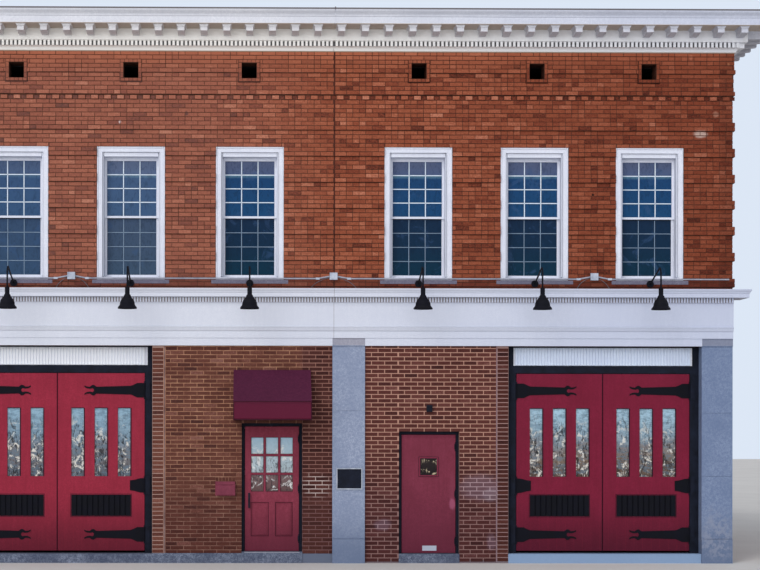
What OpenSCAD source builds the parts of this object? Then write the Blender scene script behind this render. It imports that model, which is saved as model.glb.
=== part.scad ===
// Two-storey brick fire station, in millimetres.
// X runs along the front, the front faces -Y and Z is up from the ground.
// Each wall has a local frame: x along the wall as seen from outside, y = 0 on
// the brick face and -y outwards. "Out" is a distance outwards from the brick.

/* [Building] */
// Width of the front, over the brick faces
building_w = 12900; // [12400:50:16000]
// Depth from the front brick face to the rear one
building_d = 12000; // [10500:50:18000]
// Height of the brick walls, under the cap of the cornice
wall_h = 8640; // [8400:10:9500]
// Thickness of the brick walls
wall_t = 330; // [310:10:450]
// Level of the ground floor
ground_level = 150; // [50:5:170]
// Depth of the upper floor's surface under the foot of the windows
floor_under_window = 660; // [300:10:700]
// Thickness of the upper floor
upper_floor_t = 300; // [200:10:400]
// Depth of the roof deck's surface under the top of the walls
roof_drop = 390; // [200:10:600]
// Thickness of the roof deck
roof_t = 200; // [100:10:400]

/* [Windows] */
// Width of a window over its casing
window_w = 1098; // [900:2:1400]
// Height of a window over its casing
window_h = 2149; // [1700:1:2400]
// Height of the foot of the upper windows over the lower cornice
window_rise = 146; // [100:2:300]
// Level of the foot of the ground windows in the side and rear walls
low_window_z = 1150; // [600:10:1300]
// Distance of the first front window from the middle
first_window_x = 1365; // [1000:5:1450]
// Spacing of the front windows
window_pitch = 1880; // [1700:5:1900]
// Shift of each front window from its even place, from the left
window_shift = [-15, -18, 16, 5, 2, -15]; // [-25:1:25]
// Spacing of the side windows
side_window_pitch = 2800; // [1800:10:2900]
// Set-back of the casing from the brick face
window_setback = 20; // [5:5:40]
// Width of the casing's face
casing_face_w = 90; // [50:5:95]
// Depth of the upper sash's face behind the casing's
sash_depth = 185; // [60:5:190]
// Thickness of a sash
sash_t = 38; // [25:1:40]
// Width of the casing and stile beside the glass
casing_w = 150; // [105:5:220]
// Height of the casing and rail over the glass
casing_head = 208; // [120:2:300]
// Height of the sill piece and rail under the lower glass
casing_foot = 98; // [80:2:200]
// Height of the rail of the lower sash
sash_lip = 52; // [10:2:70]
// Height of the meeting rail between the sashes
meeting_rail = 34; // [20:2:80]
// Height of the meeting rail over the foot of the window
meeting_z = 1015; // [800:5:1200]
// Thickness of the window panes
pane_t = 6; // [4:1:12]
// Height of a stone sill under a window
sill_h = 60; // [50:2:100]
// Length of a stone sill past each side of its window
sill_past = 70; // [0:5:100]
// Projection of a stone sill
sill_out = 45; // [25:5:120]

/* [Brickwork] */
// Height of a course of bricks with its joint
course_h = 70; // [60:0.5:71]
// Height of the lowest projecting band over the lower cornice
band_rise = 44; // [10:1:60]
// Courses in a band
band_courses = 2; // [1:1:3]
// Courses from the foot of one band to the next
band_spacing = 6; // [4:1:6]
// Projection of a band
band_out = 30; // [5:1:40]
// Depth under the cornice of the two steps in the brickwork
step_drop = [687, 337]; // [331:1:700]
// Projection of the lowest course of each step
step_foot_out = [30, 36]; // [20:1:50]
// Projection of the brickwork above that course
step_out = [12, 20]; // [5:1:30]
// Width and height of a vent opening
vent_size = [240, 250]; // [100:5:260]
// Depth of the middle of the vents under the cornice
vent_drop = 305; // [230:5:320]
// Width of the raised frame round a vent
vent_frame_w = 50; // [20:5:80]
// Distance of the first vent from the middle
first_vent_x = 1370; // [900:5:1500]
// Spacing of the vents
vent_pitch = 1875; // [1500:5:1900]
// Shift of each vent from its even place, from the left
vent_shift = [17, -20, 9, 6, 34, -31]; // [-40:1:40]
// Projection of a vent's frame past the step round it
vent_proud = 8; // [2:1:20]

/* [Main cornice] */
// Height of the brick that the cornice covers
cornice_cover = 405; // [350:5:450]
// Height of the bed moulding under the dentils
bed_h = 70; // [40:5:90]
// Projection of the bed moulding
bed_out = 80; // [70:5:110]
// Step at the foot and head of the bed moulding
bed_lip = 6; // [2:1:15]
// Height of the dentils
dentil_h = 82; // [40:2:100]
// Projection of the face behind the dentils, and of the dentils
dentil_out = [120, 170]; // [90:5:190]
// Spacing of the dentils in the left and right halves
dentil_pitch = [66.6, 67.9]; // [50:0.1:150]
// Part of the spacing that a dentil fills
dentil_fill = 0.58; // [0.3:0.01:0.8]
// Thickness of the strip that joins the dentils
dentil_web = 8; // [2:1:20]
// Projection of the frieze behind the brackets
frieze_out = 200; // [180:5:300]
// Height of the brackets
bracket_h = 122; // [90:2:180]
// Height of the frieze between the dentils and the brackets
frieze_h = 64; // [10:2:120]
// Width of a bracket
bracket_w = 108; // [60:2:200]
// Splay past its body and height of a bracket's cap
bracket_cap = [26, 40]; // [5:1:60]
// Projection of a bracket's cap past its nose
bracket_cap_out = 12; // [2:1:30]
// Set-back of a bracket's nose from the corona
bracket_setback = 65; // [20:5:120]
// Height of a bracket's nose
nose_h = 104; // [60:2:112]
// Part of a bracket's reach that its scrolled underside takes
scroll_reach = 0.9; // [0.5:0.01:1]
// Brackets in each half of the front
half_brackets = 18; // [8:1:20]
// Distance of the first bracket left and right of the middle
first_bracket_x = [267, 105]; // [80:1:300]
// Distance of the last bracket inside the left and right corners
last_bracket_inset = [20, -64]; // [-70:1:120]
// Projection of the corona over the brackets
corona_out = 620; // [500:5:680]
// Height of the corona
corona_h = 105; // [60:5:150]
// Projection of the crown
crown_out = 700; // [690:5:900]
// Height of the crown moulding over the corona
crown_h = 112; // [60:2:160]
// Step between the corona and the crown moulding
crown_fillet = 12; // [2:1:30]
// Height of the crown's square lip
crown_lip = 20; // [5:1:40]
// Fall of the cap from its back to its lip
cap_fall = 20; // [0:5:60]
// Width of the open joint in the middle of the front cornice
seam_w = 18; // [4:1:60]

/* [Lower cornice] */
// Height of the lowest board, between the piers
low_board_h = 123; // [80:1:160]
// Height of the second board
second_board_h = 113; // [60:1:140]
// Height of the moulding over the boards
low_bead_h = 80; // [50:5:120]
// Height of the wide fascia
fascia_h = 377; // [300:1:500]
// Height of the dentil band
low_dentil_h = 85; // [50:5:120]
// Height of the corona and its moulding
low_corona_h = 134; // [80:2:180]
// Part of the corona's height under its moulding
low_corona_part = 0.45; // [0.2:0.01:0.7]
// Step beside a moulding of the lower cornice
low_fillet = 10; // [2:1:15]
// Projections of the lowest board, the second board and the moulding
low_board_out = [70, 84, 122]; // [40:1:160]
// Projection of the fascia and of the face behind the dentils
fascia_out = [100, 115]; // [80:5:160]
// Projection of the soffit and of the lip of the corona
low_corona_out = [225, 260]; // [150:5:300]
// Length of the corona's returns along the side walls
low_return = 420; // [200:10:1200]

/* [Stone] */
// Height of the stone piers and of the vehicle doorways
pier_h = 3502; // [3400:2:3600]
// Width of the left and right corner piers
corner_pier_w = [456, 500]; // [300:1:700]
// Left side and width of the middle pier
middle_pier = [-14, 524]; // [-20:1:560]
// Projection of the piers past the brick
pier_out = 40; // [10:5:60]
// Projection of the block at the head and foot of a pier
pier_cap_out = 62; // [62:2:120]
// Levels of the joints between the stones of a corner pier
pier_joints = [387, 1400, 2421]; // [200:1:3380]
// Levels of the joints between the stones of the middle pier
middle_joints = [387, 2450]; // [200:1:3380]
// Height and depth of a joint between stones
pier_joint = [9, 8]; // [2:1:20]
// Height and projection of the stone base of the left brickwork
plinth = [160, 24]; // [20:2:200]

/* [Vehicle doors] */
// Widths of the left and right vehicle doorways
bay_w = [3080, 3120]; // [3060:2:3200]
// Width of a vehicle leaf
bay_leaf_w = 1402; // [1360:2:1406]
// Level of the foot of a leaf
bay_leaf_z = 190; // [185:5:300]
// Height of the black bar over the leaves
bay_bar_h = 124; // [60:2:150]
// Height of the white panel over the bar
transom_h = 294; // [200:2:320]
// Height of the black strip over the white panel
bay_head_h = 16; // [10:1:40]
// Set-back of the leaves from the brick face
bay_setback = 180; // [40:5:190]
// Depth of a door frame into the wall
frame_depth = 90; // [60:5:90]
// Thickness of a leaf
leaf_t = 45; // [30:1:70]
// Clear gap between a leaf and what is beside it
leaf_gap = 8; // [6:1:12]
// Set-back and thickness of the white panel
transom_place = [20, 50]; // [5:1:60]
// Length of the white panel past the leaves on each side
transom_past = 50; // [10:1:70]
// Width of a tall light
light_w = 215; // [120:5:300]
// Spacing of the tall lights
light_pitch = 376; // [320:2:430]
// Level of the foot of the lights
light_foot_z = 1392; // [1380:2:1500]
// Depth of the head of the lights under the head of the leaf
light_drop = 562; // [540:2:800]
// Width of the slatted panel
slat_panel_w = 965; // [500:5:1100]
// Levels of the foot and head of the slatted panel
slat_panel_z = [749, 1094]; // [600:1:1110]
// Number of slats
slat_count = 11; // [5:1:20]
// Part of their spacing that the grooves between the slats take
slat_groove = 0.24; // [0.1:0.01:0.5]
// Projection of the slatted panel
slat_out = 8; // [2:1:20]

/* [Hinges] */
// Height of the bottom strap hinge over the foot of the leaf
strap_rise = 262; // [220:2:420]
// Depth of the top strap hinge under the head of the leaf
strap_drop = 275; // [220:1:400]
// Level of the short middle hinge
short_strap_z = 1245; // [1220:1:1270]
// Length of a long and of a short strap
strap_l = [975, 235]; // [150:5:1100]
// Height of a strap at its root
strap_h = 236; // [200:2:260]
// Thickness of the straps
strap_t = 10; // [5:1:12]
// Length of the fixed plate on the post
post_plate = 72; // [30:1:90]
// Radius of the barrels of the vehicle and personnel hinges
barrel_r = [11, 9]; // [8:0.5:12]
// Height of the barrels of the personnel hinges
person_barrel_h = 90; // [60:5:140]
// Places of the personnel hinges as parts of the leaf's height
person_hinges = [0.1, 0.5, 0.9]; // [0.05:0.01:0.95]
// Distance of a hinge pin in front of the leaf
pin_out = 17; // [17:1:24]
// Radius of a hinge pin
pin_r = 5; // [3:0.5:6]
// Radial clearance between a pin and its barrel
pin_clearance = 0.1; // [0.05:0.05:0.5]
// Height of a fixed knuckle over and under a barrel
knuckle_h = 22; // [10:1:30]
// Clear gap between a barrel and the fixed half of its hinge
knuckle_gap = 5; // [5:1:8]

/* [Entrance door] */
// Middle of the entrance
entrance_x = -985; // [-1100:5:-800]
// Level of the foot and head of its leaf
entrance_leaf_z = [190, 2200]; // [185:5:2250]
// Width of a personnel leaf
person_leaf_w = 870; // [800:5:900]
// Width of the posts and head of a personnel frame
person_post_w = 46; // [30:1:60]
// Set-back of a personnel leaf from the brick face
person_setback = 100; // [30:5:150]
// Foot and head of the glazed part of the entrance leaf
entrance_glazed_z = [1152, 2023]; // [1100:1:2060]
// Foot and head of the lower panels of the entrance leaf
entrance_panel_z = [423, 977]; // [350:1:1030]
// Width of the stile beside the lights and panels
entrance_stile = 100; // [80:1:130]
// Depth of the border round a panel's raised field
panel_depth = 16; // [8:1:20]
// Width of that border
panel_border = 32; // [10:1:50]
// Depth of the raised field
field_depth = 5; // [1:1:7]
// Number of lights across and up the entrance leaf
entrance_lights = [3, 3]; // [1:1:4]
// Bar between lights
entrance_bar = 33; // [15:1:40]
// Distance of the pull handle from the leaf's edge, and level of its foot
pull_place = [66, 887]; // [40:1:1200]
// Width, height and reach of the pull handle
pull_size = [30, 242, 60]; // [20:1:400]
// Thickness of the pull handle's bar
pull_t = 15; // [8:1:20]

/* [Exit door] */
// Middle of the exit
exit_x = 1550; // [1500:5:1560]
// Level of the foot and head of its leaf
exit_leaf_z = [158, 2069]; // [156:1:2100]
// Side of the square light
exit_light = 260; // [150:5:350]
// Level of the middle of the light
exit_light_z = 1553; // [1400:5:1700]
// Width and thickness of the trim round the light
exit_trim = [25, 8]; // [5:1:50]
// Width, height and thickness of the bare label plate
label_plate = [230, 82, 3]; // [2:1:300]
// Place of the label plate's corner from the hinge edge and the foot
label_place = [536, 36]; // [10:2:600]
// Width, height and depth of the small fixture over the exit
fixture_size = [90, 110, 80]; // [40:5:160]
// Level of the foot of the fixture
fixture_z = 2440; // [2350:5:2700]

/* [Lamps] */
// Distance of a lamp's shade in front of the wall
lamp_reach = 900; // [700:10:1200]
// Radius and thickness of the plate that holds the arm on the window sill
lamp_plate_size = [58, 16]; // [10:1:60]
// Depth of the plate's middle under the foot of the window
lamp_drop = 55; // [40:1:70]
// Rise of the arm over its plate
lamp_rise = 195; // [120:5:300]
// Radius of the bend at the head of the arm
lamp_bend = 110; // [60:5:150]
// Radius of the arm
lamp_arm_r = 13; // [8:1:16]
// Radius of the rim of the shade
shade_r = 151; // [130:1:250]
// Radius and height of the socket over the shade
socket_size = [37, 150]; // [20:1:160]
// Height of the shade
shade_h = 190; // [160:5:240]
// Depth of the rim under the head of the arm
shade_drop = 660; // [600:5:700]
// Thickness of the shade
shade_t = 5; // [3:1:10]

/* [Awning and small pieces] */
// Width of the awning
awning_w = 1240; // [1100:10:1400]
// Heights over the entrance leaf of the valance's foot, its head and the back
awning_rise = [100, 350, 910]; // [60:5:1100]
// Projection of the awning's front and of its short flat top
awning_out = [700, 60]; // [40:10:1200]
// Thickness of the awning's boards
awning_t = 18; // [8:1:30]
// Radius of the conduit
conduit_r = 13; // [8:1:20]
// Gap between the conduit and the brick band
conduit_gap = 3; // [2:1:10]
// Places of the junction boxes along the front
junction_x = [-4215, 0, 4205]; // [-5000:5:5000]
// Width, height and depth of a junction box
junction_size = [125, 115, 60]; // [50:5:160]
// Height of the middle of a box over the conduit
junction_rise = 38; // [15:1:50]
// Length over which the conduit climbs to a box
conduit_ramp = 190; // [100:10:300]
// Distance of the conduit's ends from the corners
conduit_end = 60; // [20:5:300]
// Left side and foot of the mail box
mail_box_place = [-1897, 1089]; // [-2400:1:1400]
// Width, height and depth of the mail box
mail_box_size = [320, 226, 60]; // [40:1:350]
// Distance of the plaque from the middle pier's left side, and level of its foot
plaque_place = [64, 1188]; // [0:1:1700]
// Width, height and thickness of the plaque
plaque_size = [420, 346, 18]; // [10:1:450]

/* [Hidden] */
$fn = 32;
joint_gap = 0.5;
front_side = 0;
right_side = 1;
rear_side = 2;
left_side = 3;
all_sides = [front_side, right_side, rear_side, left_side];
half_w = building_w / 2;
half_d = building_d / 2;

// Levels, from the ground up
low_board_z = pier_h;
second_board_z = low_board_z + low_board_h;
low_bead_z = second_board_z + second_board_h;
fascia_z = low_bead_z + low_bead_h;
low_dentil_z = fascia_z + fascia_h;
low_corona_z = low_dentil_z + low_dentil_h;
low_top_z = low_corona_z + low_corona_h;
window_z = low_top_z + window_rise;
upper_level = window_z - floor_under_window;
band_z = low_top_z + band_rise;
band_h = band_courses * course_h;
band_pitch = band_spacing * course_h;
cornice_z = wall_h - cornice_cover;
step_z = [for (drop = step_drop) cornice_z - drop];
band_count = floor((step_z[0] - band_z) / band_pitch);
vent_z = cornice_z - vent_drop;
dentil_z = cornice_z + bed_h;
frieze_z = dentil_z + dentil_h;
soffit_z = frieze_z + frieze_h + bracket_h;
corona_z = soffit_z + corona_h;
crown_z = corona_z + crown_h + crown_lip;
roof_level = wall_h - roof_drop;

// Places along the front
bay_x = [-half_w + corner_pier_w[0] + bay_w[0] / 2, half_w - corner_pier_w[1] - bay_w[1] / 2];
bay_edge = [for (i = [0, 1]) [bay_x[i] - bay_w[i] / 2, bay_x[i] + bay_w[i] / 2]];
front_window_x = front_places(first_window_x, window_pitch, window_shift);
vent_x = front_places(first_vent_x, vent_pitch, vent_shift);
side_window_x = [for (s = [-1, 1]) for (p = [0.5, 1.5]) s * p * side_window_pitch];
hinge_edge = bay_leaf_w + leaf_gap / 2;
person_opening_w = person_leaf_w + 2 * leaf_gap + 2 * person_post_w;
entrance_edge = [entrance_x - person_opening_w / 2, entrance_x + person_opening_w / 2];
exit_edge = [exit_x - person_opening_w / 2, exit_x + person_opening_w / 2];
entrance_top = entrance_leaf_z[1] + leaf_gap + person_post_w;
exit_top = exit_leaf_z[1] + leaf_gap + person_post_w;
threshold_h = entrance_leaf_z[0] - leaf_gap;
bay_bar_top = pier_h - bay_head_h - transom_h;
bay_leaf_top = bay_bar_top - bay_bar_h - leaf_gap;
light_z = [light_foot_z, bay_leaf_top - light_drop];
strap_z = [bay_leaf_z + strap_rise, bay_leaf_top - strap_drop];
glass_w = window_w - 2 * casing_w;
bend_swell = 1.25;
lamp_z = window_z - lamp_drop;
rim_z = lamp_z + lamp_rise - shade_drop;
conduit_out = band_out + conduit_gap + conduit_r;
conduit_z = band_z + band_h - conduit_r * bend_swell;
bracket_pitch = [for (i = [0, 1])
    (half_w - last_bracket_inset[i] - first_bracket_x[i]) / (half_brackets - 1)];
cut = 1;

// Middle of each vehicle leaf's doorway and the side it is hinged on
leaf_hinges = [[bay_x[0], -1], [bay_x[0], 1], [bay_x[1], -1], [bay_x[1], 1]];

// Six places along the front, even on both sides of the middle but for their shifts
function front_places(first, pitch, shift) = [for (i = [0 : 5])
    let (k = i - 2.5)
    sign(k) * (first + (abs(k) - 0.5) * pitch) + shift[i]];

// Half the length of the wall on a side
function half_run(side) = side % 2 == 0 ? half_w : half_d;

// Distance of the wall on a side from the middle of the building
function face_distance(side) = side % 2 == 0 ? half_d : half_w;

// Places of the upper windows along a wall
function upper_windows(side) = side % 2 == 0 ? front_window_x : side_window_x;

// Places of the ground windows along a wall
function ground_windows(side) = side == front_side ? [] : side_window_x;

// An S-curve that leans out, between two points of a section
function cyma(from, to, steps) = [for (i = [0 : steps])
    let (t = i / steps)
    [from[0] + (to[0] - from[0]) * (t - sin(360 * t) / 8), from[1] + (to[1] - from[1]) * t]];

// An S-curve that lies level at both ends
function ogee(from, to, steps) = [for (i = [0 : steps])
    let (t = i / steps)
    [from[0] + (to[0] - from[0]) * t, from[1] + (to[1] - from[1]) * (1 - cos(180 * t)) / 2]];

// Moves the local frame of a wall to its side of the building
module on_side(side) {
    rotate([0, 0, 90 * side])
        translate([0, -face_distance(side), 0])
            children();
}

// A box in a wall's frame, between two distances out from the brick face
module wall_box(x_from, x_to, z_from, z_to, out_from, out_to) {
    translate([x_from, -out_to, z_from])
        cube([x_to - x_from, out_to - out_from, z_to - z_from]);
}

// Extrudes a drawing of the wall's face between two distances out
module wall_sheet(out_from, out_to) {
    translate([0, -out_from, 0])
        rotate([90, 0, 0])
            linear_extrude(height = out_to - out_from)
                children();
}

// Extrudes a section, as distances out and levels, along the wall
module wall_moulding(x_from, x_to, section) {
    translate([x_from, 0, 0])
        rotate([90, 0, 90])
            linear_extrude(height = x_to - x_from)
                polygon([for (p = section) [-p[0], p[1]]]);
}

// A rectangle on the wall's face
module face_rect(x_from, x_to, z_from, z_to) {
    translate([x_from, z_from])
        square([x_to - x_from, z_to - z_from]);
}

// Rectangles for the windows of a wall
module window_holes(side) {
    for (x = upper_windows(side))
        face_rect(x - window_w / 2, x + window_w / 2, window_z, window_z + window_h);
    for (x = ground_windows(side))
        face_rect(x - window_w / 2, x + window_w / 2, low_window_z, low_window_z + window_h);
}

// Rectangles for the vents of the front wall
module vent_holes(grow) {
    for (x = vent_x)
        translate([x, vent_z])
            square([vent_size[0] + 2 * grow, vent_size[1] + 2 * grow], center = true);
}

// Places its children at the foot of every window of every wall
module at_windows() {
    for (side = all_sides)
        on_side(side) {
            for (x = upper_windows(side))
                translate([x, 0, window_z])
                    children();
            for (x = ground_windows(side))
                translate([x, 0, low_window_z])
                    children();
        }
}

// A floor between the inner faces of the walls
module inner_slab(z_from, z_to) {
    translate([-half_w + wall_t, -half_d + wall_t, z_from])
        cube([building_w - 2 * wall_t, building_d - 2 * wall_t, z_to - z_from]);
}

module ground_slab() {
    color("#8b8f92")
        inner_slab(0, ground_level);
}

module upper_floor() {
    color("#8d7f6c")
        inner_slab(upper_level - upper_floor_t, upper_level);
}

module roof_deck() {
    color("#4a4c4f")
        inner_slab(roof_level - roof_t, roof_level);
}

// The front wall beside the ground doorways, between the stone piers
module front_wall_ground() {
    color("#7c4a3e")
        on_side(front_side) {
            wall_box(bay_edge[0][1], entrance_edge[0], 0, pier_h, -wall_t, 0);
            wall_box(entrance_edge[1], middle_pier[0], 0, pier_h, -wall_t, 0);
            wall_box(middle_pier[0] + middle_pier[1], exit_edge[0], 0, pier_h, -wall_t, 0);
            wall_box(exit_edge[1], bay_edge[1][0], 0, pier_h, -wall_t, 0);
        }
}

// The front wall over the two personnel doorways
module front_wall_lintels() {
    color("#7c4a3e")
        on_side(front_side) {
            wall_box(entrance_edge[0], entrance_edge[1], entrance_top, pier_h, -wall_t, 0);
            wall_box(exit_edge[0], exit_edge[1], exit_top, pier_h, -wall_t, 0);
        }
}

module front_wall_upper() {
    color("#93553f")
        on_side(front_side)
            wall_sheet(-wall_t, 0)
                difference() {
                    face_rect(-half_w, half_w, pier_h, wall_h);
                    window_holes(front_side);
                    vent_holes(0);
                }
}

module side_walls() {
    inner = half_d - wall_t;
    color("#93553f")
        for (side = [right_side, left_side])
            on_side(side)
                wall_sheet(-wall_t, 0)
                    difference() {
                        face_rect(-inner, inner, 0, wall_h);
                        window_holes(side);
                    }
}

module rear_wall() {
    color("#93553f")
        on_side(rear_side)
            wall_sheet(-wall_t, 0)
                difference() {
                    face_rect(-half_w, half_w, 0, wall_h);
                    window_holes(rear_side);
                }
}

// A ring of brick round the building, left out at the windows it meets
module brick_ring(z_from, z_to, out) {
    meets_windows = z_to > window_z && z_from < window_z + window_h;
    translate([0, 0, z_from])
        linear_extrude(height = z_to - z_from)
            difference() {
                square([building_w + 2 * out, building_d + 2 * out], center = true);
                square([building_w, building_d], center = true);
                if (meets_windows)
                    for (side = all_sides)
                        on_side(side)
                            for (x = upper_windows(side))
                                translate([x, 0])
                                    square([window_w, 4 * out], center = true);
            }
}

// Projecting bands, the stepped-out brickwork and the frames of the vents
module brick_bands() {
    vent_out = step_foot_out[1] + vent_proud;
    color("#8f5140") {
        difference() {
            for (i = [0 : band_count - 1])
                brick_ring(band_z + i * band_pitch, band_z + i * band_pitch + band_h, band_out);
            at_windows()
                window_sill();
        }
        difference() {
            union() {
                brick_ring(step_z[0], step_z[1], step_out[0]);
                brick_ring(step_z[1], cornice_z, step_out[1]);
                for (i = [0, 1])
                    brick_ring(step_z[i], step_z[i] + course_h, step_foot_out[i]);
            }
            on_side(front_side)
                wall_sheet(-cut, 2 * vent_out)
                    vent_holes(vent_frame_w);
        }
        on_side(front_side)
            wall_sheet(0, vent_out)
                difference() {
                    vent_holes(vent_frame_w);
                    vent_holes(0);
                }
    }
}

// A stone pier with a base, a head block and open joints between its stones
module stone_pier(x_from, x_to, joints) {
    difference() {
        union() {
            wall_box(x_from, x_to, 0, pier_h, -wall_t, pier_out);
            wall_box(x_from, x_to, 0, joints[0], 0, pier_cap_out);
            wall_box(x_from, x_to, pier_h - joint_gap, second_board_z, 0, pier_cap_out);
        }
        for (z = joints)
            wall_box(x_from - cut, x_to + cut, z, z + pier_joint[0],
                pier_out - pier_joint[1], pier_cap_out + cut);
    }
}

module stone_piers() {
    color("#93a0b8")
        on_side(front_side) {
            stone_pier(-half_w, -half_w + corner_pier_w[0], pier_joints);
            stone_pier(half_w - corner_pier_w[1], half_w, pier_joints);
            stone_pier(middle_pier[0], middle_pier[0] + middle_pier[1], middle_joints);
        }
}

// Stone sills in the four doorways, and the stone base beside the left doorway
module door_sills() {
    sill_front = pier_out / 2;
    color("#8a95ab")
        on_side(front_side) {
            for (edge = bay_edge)
                wall_box(edge[0], edge[1], 0, ground_level, -wall_t, sill_front);
            wall_box(entrance_edge[0], entrance_edge[1], 0, threshold_h, -wall_t, sill_front);
            wall_box(exit_edge[0], exit_edge[1], 0, ground_level, -wall_t, sill_front);
            wall_box(bay_edge[0][1] + joint_gap, entrance_edge[0] - joint_gap, 0, plinth[0],
                0, plinth[1]);
        }
}

// Posts, bar and head of a vehicle doorway; the posts are narrower over the bar
module bay_frame(x, width) {
    inner = hinge_edge + leaf_gap;
    panel_half = hinge_edge + transom_past;
    out_to = -bay_setback;
    out_from = out_to - frame_depth;
    for (s = [0, 1])
        translate([x, 0, 0])
            mirror([s, 0, 0]) {
                wall_box(inner, width / 2, ground_level, bay_bar_top, out_from, out_to);
                wall_box(panel_half, width / 2, bay_bar_top - cut, pier_h, out_from, out_to);
            }
    wall_box(x - inner + joint_gap, x + inner - joint_gap, bay_leaf_top + leaf_gap, bay_bar_top,
        out_from, out_to);
    wall_box(x - panel_half + joint_gap, x + panel_half - joint_gap, pier_h - bay_head_h, pier_h,
        out_from, out_to);
}

// Posts and head of a personnel doorway
module person_frame(x, z_from, z_to) {
    outer = person_opening_w / 2;
    inner = outer - person_post_w;
    out_to = -person_setback;
    out_from = out_to - frame_depth;
    for (s = [-1, 1])
        translate([x + s * (outer + inner) / 2, 0, 0])
            wall_box(-person_post_w / 2, person_post_w / 2, z_from, z_to, out_from, out_to);
    wall_box(x - inner + joint_gap, x + inner - joint_gap, z_to - person_post_w, z_to, out_from, out_to);
}

// Door frames with the fixed halves of their hinges
module door_frames() {
    color("#1d242d") {
        on_side(front_side) {
            for (i = [0, 1])
                bay_frame(bay_x[i], bay_w[i]);
            person_frame(entrance_x, threshold_h, entrance_top);
            person_frame(exit_x, ground_level, exit_top);
        }
        for (i = [0 : len(leaf_hinges) - 1])
            at_bay_leaf(i)
                for (z = concat(strap_z, [short_strap_z]))
                    translate([0, 0, z - bay_leaf_z])
                        post_hinge(strap_h, barrel_r[0], post_plate);
        person_post_hinges(entrance_x, entrance_leaf_z);
        person_post_hinges(exit_x, exit_leaf_z);
    }
}

module person_post_hinges(x, leaf_z) {
    at_person_leaf(x, leaf_z[0])
        for (t = person_hinges)
            translate([0, 0, t * (leaf_z[1] - leaf_z[0])])
                post_hinge(person_barrel_h, barrel_r[1], person_post_w - barrel_r[1] - knuckle_gap);
}

module transom_panels() {
    panel_half = hinge_edge + transom_past;
    out_to = -bay_setback - transom_place[0];
    color("#c3cbdc")
        on_side(front_side)
            for (x = bay_x)
                wall_box(x - panel_half, x + panel_half, bay_bar_top, pier_h - bay_head_h,
                    out_to - transom_place[1], out_to);
}

// A double-hung window's casing and sashes, with its foot in the middle; the
// lower sash stands one sash thickness behind the upper one
module window_frame() {
    back = -window_setback - sash_depth - 2 * sash_t;
    head = window_h - casing_head;
    sash_w = window_w - 2 * casing_face_w;
    split = meeting_z + meeting_rail;
    difference() {
        wall_box(-window_w / 2, window_w / 2, 0, window_h, back, -window_setback);
        wall_box(-glass_w / 2, glass_w / 2, split, head, back - cut, 0);
        wall_box(-glass_w / 2, glass_w / 2, casing_foot, meeting_z, back - cut, 0);
        wall_box(-sash_w / 2, sash_w / 2, casing_foot - sash_lip, window_h - casing_face_w,
            -window_setback - sash_depth, 0);
        wall_box(-sash_w / 2, sash_w / 2, casing_foot - sash_lip, meeting_z,
            -window_setback - sash_depth - sash_t, 0);
        wall_box(-sash_w / 2, sash_w / 2, split, window_h - casing_face_w, back - cut, back + sash_t);
    }
}

// The two panes of a window, each in the middle of its sash
module window_panes() {
    upper_out = -window_setback - sash_depth - (sash_t - pane_t) / 2;
    wall_box(-glass_w / 2, glass_w / 2, meeting_z + meeting_rail, window_h - casing_head,
        upper_out - pane_t, upper_out);
    wall_box(-glass_w / 2, glass_w / 2, casing_foot, meeting_z,
        upper_out - sash_t - pane_t, upper_out - sash_t);
}

// The stone sill of a window, from the foot of its casing down
module window_sill() {
    wall_box(-window_w / 2 - sill_past, window_w / 2 + sill_past, -sill_h, 0, 0, sill_out);
}

module window_frames() {
    color("#cfd3e2")
        at_windows()
            window_frame();
}

module window_glass() {
    color("#3a5070", 0.5)
        at_windows()
            window_panes();
}

module window_sills() {
    color("#8f9bb0")
        at_windows()
            window_sill();
}

// Section of the main cornice, from the brick face out and up
cornice_section = concat(
    [[-wall_t, wall_h], [0, wall_h], [0, cornice_z]],
    ogee([step_out[1] + bed_lip, cornice_z], [bed_out, dentil_z - bed_lip], 4),
    [[bed_out, dentil_z], [dentil_out[0], dentil_z], [dentil_out[0], frieze_z], [frieze_out, frieze_z],
        [frieze_out, soffit_z], [corona_out, soffit_z], [corona_out, corona_z]],
    cyma([corona_out + crown_fillet, corona_z + crown_fillet], [crown_out, crown_z - crown_lip], 6),
    [[crown_out, crown_z], [-wall_t, crown_z + cap_fall]]);

// Plan of a wall's cornice, mitred to meet the next wall's at the corners
module mitre_plan(side, x_from, x_to) {
    reach = crown_out + frieze_out;
    near = half_run(side) - joint_gap;
    intersection() {
        polygon([[-near - reach, -reach], [near + reach, -reach], [near - wall_t, wall_t],
            [-near + wall_t, wall_t]]);
        translate([x_from, -2 * reach])
            square([x_to - x_from, 4 * reach]);
    }
}

// A moulding along a wall, mitred where it turns a corner
module mitred_moulding(side, section, x_from, x_to) {
    reach = half_run(side) + 2 * crown_out;
    on_side(side)
        intersection() {
            wall_moulding(-reach, reach, section);
            linear_extrude(height = 2 * crown_z)
                mitre_plan(side, max(x_from, -reach), min(x_to, reach));
        }
}

module cornice_front() {
    color("#c2c5d3") {
        mitred_moulding(front_side, cornice_section, -building_w, -seam_w / 2);
        mitred_moulding(front_side, cornice_section, seam_w / 2, building_w);
    }
}

module cornice_returns() {
    color("#c2c5d3")
        for (side = [right_side, rear_side, left_side])
            mitred_moulding(side, cornice_section, -building_w, building_w);
}

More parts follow.
